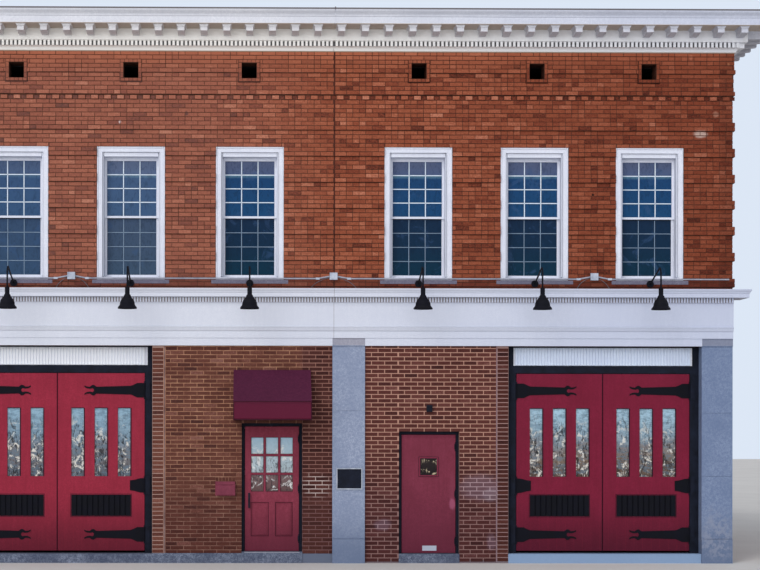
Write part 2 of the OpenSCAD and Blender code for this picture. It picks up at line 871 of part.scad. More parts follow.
// Section of a scrolled bracket, from the frieze to its nose and back
nose_out = corona_out - bracket_setback;
bracket_foot = soffit_z - bracket_h;
bracket_section = concat(
    [[frieze_out, soffit_z], [nose_out, soffit_z], [nose_out, soffit_z - nose_h]],
    [for (t = [0.15, 0.35, 0.55, 0.75, 0.9, 1])
        [nose_out - t * t * (nose_out - frieze_out) * scroll_reach,
            soffit_z - nose_h - (bracket_h - nose_h) * (t - sin(360 * t) / 7)]],
    [[frieze_out, bracket_foot]]);

// A bracket under the soffit, with a splayed cap
module bracket(x) {
    half = bracket_w / 2;
    splay = half + bracket_cap[0];
    wall_moulding(x - half, x + half, bracket_section);
    wall_sheet(frieze_out, nose_out + bracket_cap_out)
        translate([x, soffit_z])
            polygon([[-splay, 0], [splay, 0], [half, -bracket_cap[1]], [-half, -bracket_cap[1]]]);
}

// Brackets in the two halves of the front and along the side walls
module cornice_brackets() {
    side_end = half_d - last_bracket_inset[1];
    side_count = round(2 * side_end / bracket_pitch[1]);
    color("#c9ccd9") {
        on_side(front_side)
            for (i = [0 : half_brackets - 1]) {
                bracket(-first_bracket_x[0] - i * bracket_pitch[0]);
                bracket(first_bracket_x[1] + i * bracket_pitch[1]);
            }
        for (side = [right_side, left_side])
            on_side(side)
                for (i = [0 : side_count])
                    bracket(side_end * (2 * i / side_count - 1));
    }
}

// Dentils over one half of the front, as a comb from the middle outwards
module dentil_comb(pitch) {
    count = floor((half_w + dentil_out[0] - seam_w) / pitch);
    tooth = dentil_fill * pitch;
    gap = pitch - tooth;
    web = dentil_out[0] + dentil_web;
    comb_end = seam_w / 2 + count * pitch;
    comb = concat([[seam_w / 2, -dentil_out[0]], [seam_w / 2, -web]],
        [for (i = [0 : count - 1])
            let (x = seam_w / 2 + gap / 2 + i * pitch)
            each [[x, -web], [x, -dentil_out[1]], [x + tooth, -dentil_out[1]], [x + tooth, -web]]],
        [[comb_end, -web], [comb_end, -dentil_out[0]]]);
    translate([0, 0, dentil_z])
        linear_extrude(height = dentil_h)
            polygon(comb);
}

module cornice_dentils() {
    color("#cdd0dc")
        on_side(front_side) {
            mirror([1, 0, 0])
                dentil_comb(dentil_pitch[0]);
            dentil_comb(dentil_pitch[1]);
        }
}

// Section of the white cornice over the ground storey, from its second board to
// the foot of its corona
fascia_section = concat(
    [[0, second_board_z], [low_board_out[1], second_board_z], [low_board_out[1], low_bead_z]],
    ogee([low_board_out[1] + low_fillet, low_bead_z], [low_board_out[2], fascia_z - 2 * low_fillet], 4),
    [[low_board_out[2], fascia_z - low_fillet], [fascia_out[0], fascia_z], [fascia_out[0], low_dentil_z],
        [fascia_out[1], low_dentil_z], [fascia_out[1], low_corona_z + cut], [0, low_corona_z + cut]]);

// Section of its corona, which alone turns the corners
low_corona_section = concat(
    [[0, low_corona_z], [low_corona_out[0], low_corona_z],
        [low_corona_out[0], low_corona_z + low_corona_h * low_corona_part]],
    cyma([low_corona_out[0] + low_fillet, low_corona_z + low_corona_h * low_corona_part + low_fillet],
        [low_corona_out[1], low_top_z - low_fillet], 4),
    [[low_corona_out[1], low_top_z], [0, low_top_z]]);

// The lowest board, between two piers, let into the second one
module low_board(x_from, x_to) {
    wall_box(x_from, x_to, low_board_z, second_board_z + cut, 0, low_board_out[0]);
}

module lower_cornice() {
    middle_end = middle_pier[0] + middle_pier[1];
    color("#cdd3e4") {
        mitred_moulding(front_side, low_corona_section, -building_w, building_w);
        on_side(front_side) {
            wall_moulding(-half_w, half_w, fascia_section);
            low_board(-half_w + corner_pier_w[0], middle_pier[0]);
            low_board(middle_end, half_w - corner_pier_w[1]);
        }
        mitred_moulding(right_side, low_corona_section, -building_d, -half_d + low_return);
        mitred_moulding(left_side, low_corona_section, half_d - low_return, building_d);
    }
}

// A straight piece of conduit between two points of the wall's face
module conduit_piece(from, to) {
    step = to - from;
    translate([from[0], -conduit_out, from[1]])
        rotate([0, atan2(step[0], step[1]), 0])
            cylinder(r = conduit_r, h = norm(step));
}

// Conduit through a list of points, with a fitting at each inner one that
// stands on the brick band
module conduit_run(points) {
    half = conduit_r * bend_swell;
    for (i = [0 : len(points) - 2])
        conduit_piece(points[i], points[i + 1]);
    for (i = [1 : len(points) - 2])
        wall_box(points[i][0] - 2 * half, points[i][0] + 2 * half, points[i][1] - half, points[i][1] + half,
            band_out, conduit_out + half);
}

// The conduit across the front; it dips between its three junction boxes
module wall_conduit() {
    box_z = conduit_z + junction_rise;
    half_box = junction_size[0] / 2;
    half_box_h = junction_size[1] / 2;
    inside = half_box - conduit_r;
    dip = half_box + conduit_ramp;
    last = len(junction_x) - 1;
    color("#b9c0ce")
        on_side(front_side) {
            for (x = junction_x)
                wall_box(x - half_box, x + half_box, box_z - half_box_h, box_z + half_box_h,
                    band_out, band_out + junction_size[2]);
            for (i = [0 : last - 1])
                conduit_run([[junction_x[i] + inside, box_z], [junction_x[i] + dip, conduit_z],
                    [junction_x[i + 1] - dip, conduit_z], [junction_x[i + 1] - inside, box_z]]);
            conduit_run([[-half_w + conduit_end, conduit_z], [junction_x[0] - dip, conduit_z],
                [junction_x[0] - inside, box_z]]);
            conduit_run([[junction_x[last] + inside, box_z], [junction_x[last] + dip, conduit_z],
                [half_w - conduit_end, conduit_z]]);
        }
}

// A gooseneck arm from its plate on the sill to the socket over the shade
module lamp_arm(x) {
    arm_end = lamp_reach - lamp_bend;
    plate_front = sill_out + lamp_plate_size[1];
    top_z = lamp_z + lamp_rise;
    slope = atan2(lamp_rise, arm_end - plate_front);
    root = lamp_plate_size[1] / 4;
    socket_z = rim_z + shade_h + socket_size[1];
    translate([x, 0, 0]) {
        translate([0, -sill_out, lamp_z])
            rotate([90, 0, 0])
                cylinder(r = lamp_plate_size[0], h = lamp_plate_size[1]);
        translate([0, -plate_front, lamp_z])
            rotate([90 - slope, 0, 0])
                translate([0, 0, -root])
                    cylinder(r = lamp_arm_r, h = (arm_end - plate_front) / cos(slope) + root);
        translate([0, -arm_end, top_z])
            sphere(r = lamp_arm_r * bend_swell);
        translate([0, -arm_end, top_z - lamp_bend])
            rotate([90, 0, -90])
                rotate_extrude(angle = 90)
                    translate([lamp_bend, 0])
                        circle(r = lamp_arm_r);
        translate([0, -lamp_reach, socket_z])
            cylinder(r = lamp_arm_r, h = top_z - lamp_bend - socket_z);
    }
}

module lamp_arms() {
    color("#1b2230")
        on_side(front_side)
            for (x = front_window_x)
                lamp_arm(x);
}

// The bell from its neck to its rim, as parts of its radius and height
bell = [[0.26, 1], [0.41, 0.92], [0.65, 0.74], [0.76, 0.5], [0.8, 0.29], [0.98, 0.11], [1, 0]];

// A bell shade with its socket, open below
module lamp_shade(x) {
    outer = [for (p = bell) [p[0] * shade_r, p[1] * shade_h]];
    inner = [for (i = [len(bell) - 1 : -1 : 1])
        [bell[i][0] * shade_r - shade_t, bell[i][1] * (shade_h - shade_t)]];
    top = shade_h + socket_size[1];
    ceiling = bell[1][1] * (shade_h - shade_t);
    translate([x, -lamp_reach, rim_z])
        rotate_extrude()
            polygon(concat([[0, top], [socket_size[0], top], [socket_size[0], shade_h]],
                outer, inner, [[0, ceiling]]));
}

module lamp_shades() {
    color("#1b2230")
        on_side(front_side)
            for (x = front_window_x)
                lamp_shade(x);
}

// The awning over the entrance: a sloping top, two cheeks and a valance
module entrance_awning() {
    left = entrance_x - awning_w / 2;
    right = entrance_x + awning_w / 2;
    levels = [for (rise = awning_rise) entrance_leaf_z[1] + rise];
    inner_front = awning_out[0] - awning_t;
    inner_top = levels[2] - awning_t * 1.5;
    color("#5b2236")
        on_side(front_side)
            difference() {
                wall_moulding(left, right, [[0, levels[0]], [awning_out[0], levels[0]],
                    [awning_out[0], levels[1]], [awning_out[1], levels[2]], [0, levels[2]]]);
                wall_moulding(left + awning_t, right - awning_t, [[-cut, levels[0] - cut],
                    [inner_front, levels[0] - cut], [inner_front, levels[1] - awning_t / 2],
                    [awning_out[1], inner_top], [-cut, inner_top]]);
            }
}

module mail_box() {
    left = mail_box_place[0];
    foot = mail_box_place[1];
    color("#8c2034")
        on_side(front_side)
            wall_box(left, left + mail_box_size[0], foot, foot + mail_box_size[1], 0, mail_box_size[2]);
}

module pier_plaque() {
    left = middle_pier[0] + plaque_place[0];
    foot = plaque_place[1];
    color("#14181f")
        on_side(front_side)
            wall_box(left, left + plaque_size[0], foot, foot + plaque_size[1],
                pier_out, pier_out + plaque_size[2]);
}

module exit_fixture() {
    half = fixture_size[0] / 2;
    color("#2a2f38")
        on_side(front_side)
            wall_box(exit_x - half, exit_x + half, fixture_z, fixture_z + fixture_size[1],
                0, fixture_size[2]);
}

// Places its children in the middle of each tall light of a vehicle leaf
module at_lights() {
    for (i = [-1, 0, 1])
        translate([-bay_leaf_w / 2 + i * light_pitch, 0, 0])
            children();
}

// A vehicle leaf with its hinge edge at x = 0, its foot at z = 0 and its face at y = 0
module vehicle_leaf() {
    middle = -bay_leaf_w / 2;
    difference() {
        wall_box(-bay_leaf_w, 0, 0, bay_leaf_top - bay_leaf_z, -leaf_t, 0);
        at_lights()
            wall_box(-light_w / 2, light_w / 2, light_z[0] - bay_leaf_z, light_z[1] - bay_leaf_z,
                -leaf_t - cut, cut);
        wall_box(middle - slat_panel_w / 2, middle + slat_panel_w / 2,
            slat_panel_z[0] - bay_leaf_z, slat_panel_z[1] - bay_leaf_z, -leaf_t / 2, cut);
    }
}

// The three panes of a vehicle leaf
module vehicle_panes() {
    at_lights()
        wall_box(-light_w / 2, light_w / 2, light_z[0] - bay_leaf_z, light_z[1] - bay_leaf_z,
            -leaf_t / 2 - pane_t, -leaf_t / 2);
}

// Half of a long strap, its root at x = 0 and the tips of its fork at x = -1
strap_half = [[-0.01, 0], [-0.01, 1], [-0.12, 1], [-0.19, 0.72], [-0.23, 0.6], [-0.5, 0.54], [-0.8, 0.47],
    [-0.84, 0.73], [-0.87, 0.7], [-0.91, 0.46], [-0.96, 0.5], [-1, 0.64], [-0.995, 0.42], [-0.95, 0.24],
    [-0.9, 0.2], [-0.86, 0.28], [-0.84, 0.12], [-0.84, 0]];

// Half of a short strap, its root at x = 0 and its end at x = -1
short_strap_half = [[-0.04, 0], [-0.04, 1], [-0.3, 0.98], [-0.7, 0.76], [-1, 0.68], [-1, 0]];

// A strap's outline, from the half over its middle line
module strap_outline(half, length) {
    for (s = [-1, 1])
        scale([length, s * strap_h / 2])
            polygon(half);
}

// A barrel on a leaf, with the web that carries it and a bore for the pin
module leaf_barrel(height, radius) {
    difference() {
        union() {
            translate([0, -pin_out, -height / 2])
                cylinder(r = radius, h = height);
            wall_box(-2 * radius, 0, -height / 2, height / 2, 0, pin_out);
        }
        translate([0, -pin_out, -height])
            cylinder(r = pin_r + pin_clearance, h = 2 * height);
    }
}

// The fixed plate of a hinge on its post, with two knuckles and the pin
module post_hinge(height, radius, plate_w) {
    edge = radius + knuckle_gap;
    reach = height / 2 + knuckle_gap;
    pin_h = 2 * (reach + knuckle_h);
    wall_box(edge, edge + plate_w, -pin_h / 2, pin_h / 2, 0, pin_out);
    translate([0, -pin_out, -pin_h / 2])
        cylinder(r = pin_r, h = pin_h);
    for (z = [-pin_h / 2, reach]) {
        translate([0, -pin_out, z])
            cylinder(r = radius, h = knuckle_h);
        wall_box(0, edge + cut, z, z + knuckle_h, pin_out - radius / 2, pin_out + radius / 2);
    }
}

// The slatted panel of a vehicle leaf, set in a recess of the leaf
module slat_panel() {
    slat_pitch = slat_panel_w / slat_count;
    groove = slat_groove * slat_pitch;
    translate([0, 0, slat_panel_z[0] - bay_leaf_z])
        linear_extrude(height = slat_panel_z[1] - slat_panel_z[0])
            difference() {
                translate([-slat_panel_w / 2, -slat_out])
                    square([slat_panel_w, leaf_t / 2 + slat_out]);
                for (i = [1 : slat_count - 1])
                    translate([i * slat_pitch - slat_panel_w / 2 - groove / 2, -slat_out - cut])
                        square([groove, leaf_t / 4 + slat_out + cut]);
            }
}

// Straps, barrels and the slatted panel of a vehicle leaf
module vehicle_ironwork() {
    for (z = strap_z)
        translate([0, 0, z - bay_leaf_z]) {
            wall_sheet(0, strap_t)
                strap_outline(strap_half, strap_l[0]);
            leaf_barrel(strap_h, barrel_r[0]);
        }
    translate([0, 0, short_strap_z - bay_leaf_z]) {
        wall_sheet(0, strap_t)
            strap_outline(short_strap_half, strap_l[1]);
        leaf_barrel(strap_h, barrel_r[0]);
    }
    translate([-bay_leaf_w / 2, 0, 0])
        slat_panel();
}

// Places a vehicle leaf's pieces in its doorway
module at_bay_leaf(i) {
    hand = leaf_hinges[i][1];
    on_side(front_side)
        translate([leaf_hinges[i][0] + hand * hinge_edge, bay_setback, bay_leaf_z])
            mirror([hand < 0 ? 1 : 0, 0, 0])
                children();
}

module bay_leaf(i) {
    color("#87202f")
        at_bay_leaf(i)
            vehicle_leaf();
}

module bay_glass(i) {
    color("#2b3547", 0.5)
        at_bay_leaf(i)
            vehicle_panes();
}

module bay_ironwork(i) {
    color("#1b222b")
        at_bay_leaf(i)
            vehicle_ironwork();
}

// Places a personnel leaf's pieces, hinged on the right
module at_person_leaf(x, z) {
    on_side(front_side)
        translate([x + person_leaf_w / 2, person_setback, z])
            children();
}

// Three barrels on the hinge side of a personnel leaf
module person_barrels(leaf_h) {
    for (t = person_hinges)
        translate([0, 0, t * leaf_h])
            leaf_barrel(person_barrel_h, barrel_r[1]);
}

// The lights of the entrance leaf, as rectangles on its face
module entrance_light_rects() {
    across = person_leaf_w - 2 * entrance_stile;
    up = entrance_glazed_z[1] - entrance_glazed_z[0];
    light = [(across - (entrance_lights[0] - 1) * entrance_bar) / entrance_lights[0],
        (up - (entrance_lights[1] - 1) * entrance_bar) / entrance_lights[1]];
    for (i = [0 : entrance_lights[0] - 1])
        for (j = [0 : entrance_lights[1] - 1])
            translate([-person_leaf_w + entrance_stile + i * (light[0] + entrance_bar),
                entrance_glazed_z[0] - entrance_leaf_z[0] + j * (light[1] + entrance_bar)])
                square(light);
}

// The sunk panels of the entrance leaf, with a sunk border round a raised field
module entrance_panels() {
    panel_w = (person_leaf_w - 3 * entrance_stile) / 2;
    foot = entrance_panel_z[0] - entrance_leaf_z[0];
    head = entrance_panel_z[1] - entrance_leaf_z[0];
    for (i = [0, 1])
        translate([-person_leaf_w + entrance_stile + i * (panel_w + entrance_stile), 0, 0]) {
            wall_box(0, panel_w, foot, head, -field_depth, cut);
            difference() {
                wall_box(0, panel_w, foot, head, -panel_depth, cut);
                wall_box(panel_border, panel_w - panel_border, foot + panel_border, head - panel_border,
                    -panel_depth - cut, 2 * cut);
            }
        }
}

module entrance_leaf() {
    color("#8d2740")
        at_person_leaf(entrance_x, entrance_leaf_z[0])
            difference() {
                wall_box(-person_leaf_w, 0, 0, entrance_leaf_z[1] - entrance_leaf_z[0], -leaf_t, 0);
                wall_sheet(-leaf_t - cut, cut)
                    entrance_light_rects();
                entrance_panels();
            }
}

module entrance_glass() {
    color("#2b3547", 0.5)
        at_person_leaf(entrance_x, entrance_leaf_z[0])
            wall_sheet(-leaf_t / 2 - pane_t, -leaf_t / 2)
                entrance_light_rects();
}

// Barrels and a pull handle on two feet
module entrance_hardware() {
    left = -person_leaf_w + pull_place[0] - pull_size[0] / 2;
    foot = pull_place[1] - entrance_leaf_z[0];
    head = foot + pull_size[1];
    color("#14181f")
        at_person_leaf(entrance_x, entrance_leaf_z[0]) {
            person_barrels(entrance_leaf_z[1] - entrance_leaf_z[0]);
            for (z = [foot, head - pull_size[0]])
                wall_box(left, left + pull_size[0], z, z + pull_size[0], 0, pull_size[2] - pull_t);
            wall_box(left, left + pull_size[0], foot, head, pull_size[2] - pull_t, pull_size[2]);
        }
}

// The exit's square light as a rectangle on its leaf
module exit_light_rect(grow) {
    translate([-person_leaf_w / 2, exit_light_z - exit_leaf_z[0]])
        square(exit_light + 2 * grow, center = true);
}

module exit_leaf() {
    color("#8a2439")
        at_person_leaf(exit_x, exit_leaf_z[0])
            difference() {
                wall_box(-person_leaf_w, 0, 0, exit_leaf_z[1] - exit_leaf_z[0], -leaf_t, 0);
                wall_sheet(-leaf_t - cut, cut)
                    exit_light_rect(0);
            }
}

module exit_glass() {
    color("#2b3547", 0.5)
        at_person_leaf(exit_x, exit_leaf_z[0])
            wall_sheet(-leaf_t / 2 - pane_t, -leaf_t / 2)
                exit_light_rect(0);
}

// Barrels, the trim round the light and a bare label plate near the foot
module exit_hardware() {
    left = -label_place[0];
    foot = label_place[1];
    color("#14181f")
        at_person_leaf(exit_x, exit_leaf_z[0]) {
            person_barrels(exit_leaf_z[1] - exit_leaf_z[0]);
            wall_sheet(0, exit_trim[1])
                difference() {
                    exit_light_rect(exit_trim[0]);
                    exit_light_rect(0);
                }
            wall_box(left, left + label_plate[0], foot, foot + label_plate[1], 0, label_plate[2]);
        }
}

ground_slab();
upper_floor();
roof_deck();
front_wall_ground();
front_wall_lintels();
front_wall_upper();
side_walls();
rear_wall();
brick_bands();
stone_piers();
door_sills();
door_frames();
transom_panels();
window_frames();
window_glass();
window_sills();
cornice_front();
cornice_returns();
cornice_brackets();
cornice_dentils();
lower_cornice();
wall_conduit();
lamp_arms();
lamp_shades();
entrance_awning();
mail_box();
pier_plaque();
exit_fixture();
bay_leaf(0);  // bay_leaf_a
bay_glass(0);  // bay_glass_a
bay_ironwork(0);  // bay_ironwork_a
bay_leaf(1);  // bay_leaf_b
bay_glass(1);  // bay_glass_b
bay_ironwork(1);  // bay_ironwork_b
bay_leaf(2);  // bay_leaf_c
bay_glass(2);  // bay_glass_c
bay_ironwork(2);  // bay_ironwork_c
bay_leaf(3);  // bay_leaf_d
bay_glass(3);  // bay_glass_d
bay_ironwork(3);  // bay_ironwork_d
entrance_leaf();
entrance_glass();
entrance_hardware();
exit_leaf();
exit_glass();
exit_hardware();
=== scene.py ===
"""Looks of a two-storey brick fire station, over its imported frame. Metres."""
import math

import bpy
import numpy as np
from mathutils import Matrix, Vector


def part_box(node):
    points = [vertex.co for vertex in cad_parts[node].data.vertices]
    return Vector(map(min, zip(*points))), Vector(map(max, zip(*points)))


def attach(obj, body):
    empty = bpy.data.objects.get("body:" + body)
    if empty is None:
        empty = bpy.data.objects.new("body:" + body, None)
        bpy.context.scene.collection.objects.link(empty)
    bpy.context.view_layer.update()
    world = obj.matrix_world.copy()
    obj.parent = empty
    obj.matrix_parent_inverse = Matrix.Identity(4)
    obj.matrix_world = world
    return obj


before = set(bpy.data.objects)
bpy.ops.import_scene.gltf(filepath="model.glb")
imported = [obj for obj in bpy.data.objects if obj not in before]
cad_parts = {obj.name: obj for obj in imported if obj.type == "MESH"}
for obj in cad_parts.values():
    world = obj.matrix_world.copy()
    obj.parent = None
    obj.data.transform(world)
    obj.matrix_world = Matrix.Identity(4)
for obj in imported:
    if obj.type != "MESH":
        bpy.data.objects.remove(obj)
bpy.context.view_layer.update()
rng = np.random.default_rng(23)

# Levels and places
FRONT, RIGHT, REAR, LEFT = range(4)
wall_low, wall_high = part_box("front_wall_upper")
HALF_W, HALF_D = wall_high[0], -wall_low[1]
HALF_RUN = (HALF_W, HALF_D, HALF_W, HALF_D)
FACE = (HALF_D, HALF_W, HALF_D, HALF_W)
PIER_H = wall_low[2]
CORNICE_Z = 8.235
BAND_Z, STEP_Z = 4.458, 7.548
COURSE, BRICK, PROUD = 0.070, 0.208, 0.006
GROUND_BRICK, QUOIN_COURSE = 0.213, 0.0676
BAND_OUT = 0.030
# Upper courses are counted from the lowest band: 42 with bands, the headers, then two steps outwards
BANDED, HEADERS, FIRST_STEP, SECOND_STEP = 42, 43, 44, 49
SEAM = (0.004, 0.026)
WINDOW_W, WINDOW_H = 1.098, 2.149
WINDOW_Z, LOW_WINDOW_Z = 4.56, 1.15
RAIL_Z = 5.592
CASING_OUT = -0.020
SASH_OUT = CASING_OUT - 0.185
FRONT_WINDOWS = [-5.140, -3.263, -1.349, 1.370, 3.247, 5.110]
SIDE_WINDOWS = [s * p * 2.8 for s in (-1, 1) for p in (0.5, 1.5)]
VENTS = [-5.103, -3.265, -1.361, 1.376, 3.279, 5.089]
VENT_Z, VENT_SIZE, VENT_FRAME, VENT_OUT = 7.930, (0.24, 0.25), 0.05, 0.044
BAY_EDGES = [(-5.994, -2.914), (2.830, 5.950)]
QUOINS = [(-2.914, -2.734), (2.650, 2.830)]
MIDDLE_PIER, PIER_DEPTH = (-0.014, 0.510), 0.33
# Left, right and top
ENTRANCE, EXIT = (-1.474, -0.496, 2.254), (1.061, 2.039, 2.123)
MAIL_BOX = (-1.897, -1.577, 1.315)
# Smaller cut bricks than these are left out
LEAST_RUN, LEAST_RISE = 0.020, 0.012


# Meshes
def to_world(side, points):
    """Points (along the wall, outwards, up) of a side to the building's frame."""
    x, out, z = points[..., 0], points[..., 1] + FACE[side], points[..., 2]
    turned = {FRONT: (x, -out), RIGHT: (out, x), REAR: (-x, out), LEFT: (-out, -x)}[side]
    return np.stack([turned[0], turned[1], z], axis=-1)


class Heap:
    """Points and faces of one piece, with a tone for each point."""

    def __init__(self):
        self.points, self.faces, self.tones, self.count = [], [], [], 0

    def add(self, points, faces, tone=0.5):
        """More points and faces, all of one tone."""
        points = np.asarray(points, dtype=float).reshape(-1, 3)
        self.points.append(points)
        self.faces.extend([[i + self.count for i in f] for f in faces])
        self.tones.append(np.full(len(points), tone))
        self.count += len(points)

    def tiles(self, side, rects, back, front, bevel=0.002, tone=0.5):
        """Raised rectangles (x0, x1, z0, z1) on a wall, without their backs."""
        rects = np.asarray(rects, dtype=float).reshape(-1, 4)
        n = len(rects)
        if n == 0:
            return
        back, front, tone = [np.broadcast_to(np.asarray(a, dtype=float), (n,)) for a in (back, front, tone)]
        x0, x1, z0, z1 = rects.T
        corners = [(x0, z0), (x1, z0), (x1, z1), (x0, z1)]
        inset = [(x0 + bevel, z0 + bevel), (x1 - bevel, z0 + bevel),
                 (x1 - bevel, z1 - bevel), (x0 + bevel, z1 - bevel)]
        pts = np.stack([np.stack([x, back, z], -1) for x, z in corners]
                       + [np.stack([x, front, z], -1) for x, z in inset], axis=1)
        quads = [(4, 5, 6, 7), (0, 1, 5, 4), (1, 2, 6, 5), (2, 3, 7, 6), (3, 0, 4, 7)]
        base = self.count + 8 * np.arange(n)[:, None, None]
        self.faces.extend((np.asarray(quads)[None] + base).reshape(-1, 4).tolist())
        self.points.append(to_world(side, pts.reshape(-1, 3)))
        self.tones.append(np.repeat(tone, 8))
        self.count += 8 * n

    def make(self, name, look, body="building", slot=None, smooth=False):
        """The piece itself, riding on its body."""
        mesh = bpy.data.meshes.new(name)
        mesh.from_pydata(np.concatenate(self.points).tolist(), [], self.faces)
        layer = mesh.attributes.new("tone", "FLOAT", "POINT")
        layer.data.foreach_set("value", np.concatenate(self.tones))
        if smooth:
            mesh.polygons.foreach_set("use_smooth", [True] * len(mesh.polygons))
        mesh.materials.append(LOOKS[look])
        mesh.update()
        piece = bpy.data.objects.new(name, mesh)
        bpy.context.scene.collection.objects.link(piece)
        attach(piece, body)


def cut_out(rects, holes):
    """Rectangles less the holes, each as up to four smaller ones."""
    done = []
    for rect in rects:
        parts = [tuple(rect)]
        for hx0, hx1, hz0, hz1 in holes:
            rest = []
            for x0, x1, z0, z1 in parts:
                if hx0 >= x1 or hx1 <= x0 or hz0 >= z1 or hz1 <= z0:
                    rest.append((x0, x1, z0, z1))
                    continue
                mx0, mx1 = max(x0, hx0), min(x1, hx1)
                rest += [(x0, hx0, z0, z1), (hx1, x1, z0, z1), (mx0, mx1, z0, hz0), (mx0, mx1, hz1, z1)]
            parts = [p for p in rest if p[1] - p[0] > LEAST_RISE and p[3] - p[2] > LEAST_RISE]
        done += parts
    return done


def brick_grid(x0, x1, z0, z1, anchor_x, anchor_z, course, length, joint, head):
    """Running bond in a rectangle, as rectangles less their bed and head joints."""
    rects = []
    for n in range(math.floor((z0 - anchor_z) / course), math.ceil((z1 - anchor_z) / course)):
        low = max(z0, anchor_z + n * course + joint / 2)
        high = min(z1, anchor_z + (n + 1) * course - joint / 2)
        if high - low < LEAST_RISE:
            continue
        shift = anchor_x + (n % 2) * length / 2
        for k in range(math.floor((x0 - shift) / length), math.ceil((x1 - shift) / length) + 1):
            left = max(x0, shift + k * length + head / 2)
            right = min(x1, shift + (k + 1) * length - head / 2)
            if right - left > LEAST_RUN:
                rects.append((left, right, low, high))
    return rects


def frame_rects(x0, x1, z0, z1, w):
    """The four sides of a frame, as rectangles."""
    return [(x0, x1, z0, z0 + w), (x0, x1, z1 - w, z1),
            (x0, x0 + w, z0 + w, z1 - w), (x1 - w, x1, z0 + w, z1 - w)]


def arch_rects(x0, x1, z0, z1, w, head):
    """Two uprights with a head between them, as rectangles."""
    return [(x0, x0 + w, z0, z1), (x1 - w, x1, z0, z1), (x0 + w, x1 - w, z1 - head, z1)]


def ring_faces(rings, around):
    """Faces between rings of points, one ring after another."""
    return [(k * around + i, k * around + (i + 1) % around,
             (k + 1) * around + (i + 1) % around, (k + 1) * around + i)
            for k in range(rings - 1) for i in range(around)]


def cable(heap, points, radius, around=6):
    """A thin cable through points in the building's frame."""
    turns = 2 * np.pi * np.arange(around) / around
    rings = []
    for k, point in enumerate(points):
        way = points[min(k + 1, len(points) - 1)] - points[max(k - 1, 0)]
        across = np.cross(way, (0.0, 1.0, 0.0))
        across /= np.linalg.norm(across)
        rise = np.cross(across, way) / np.linalg.norm(way)
        rings.append(point + radius * (np.cos(turns)[:, None] * across + np.sin(turns)[:, None] * rise))
    heap.add(np.concatenate(rings), ring_faces(len(points), around))


def spaced(run, pitch):
    """The middles of equal steps of about a pitch, from -run to run."""
    count = int(2 * run / pitch)
    return [-run + (k + 0.5) * 2 * run / count for k in range(count)]


# Materials
X, Y, Z = range(3)


def tint(r, g, b):
    """A colour read as 8-bit display values, as linear light."""
    return tuple((c / 255 / 12.92) if c < 10.3 else ((c / 255 + 0.055) / 1.055) ** 2.4
                 for c in (r, g, b)) + (1.0,)


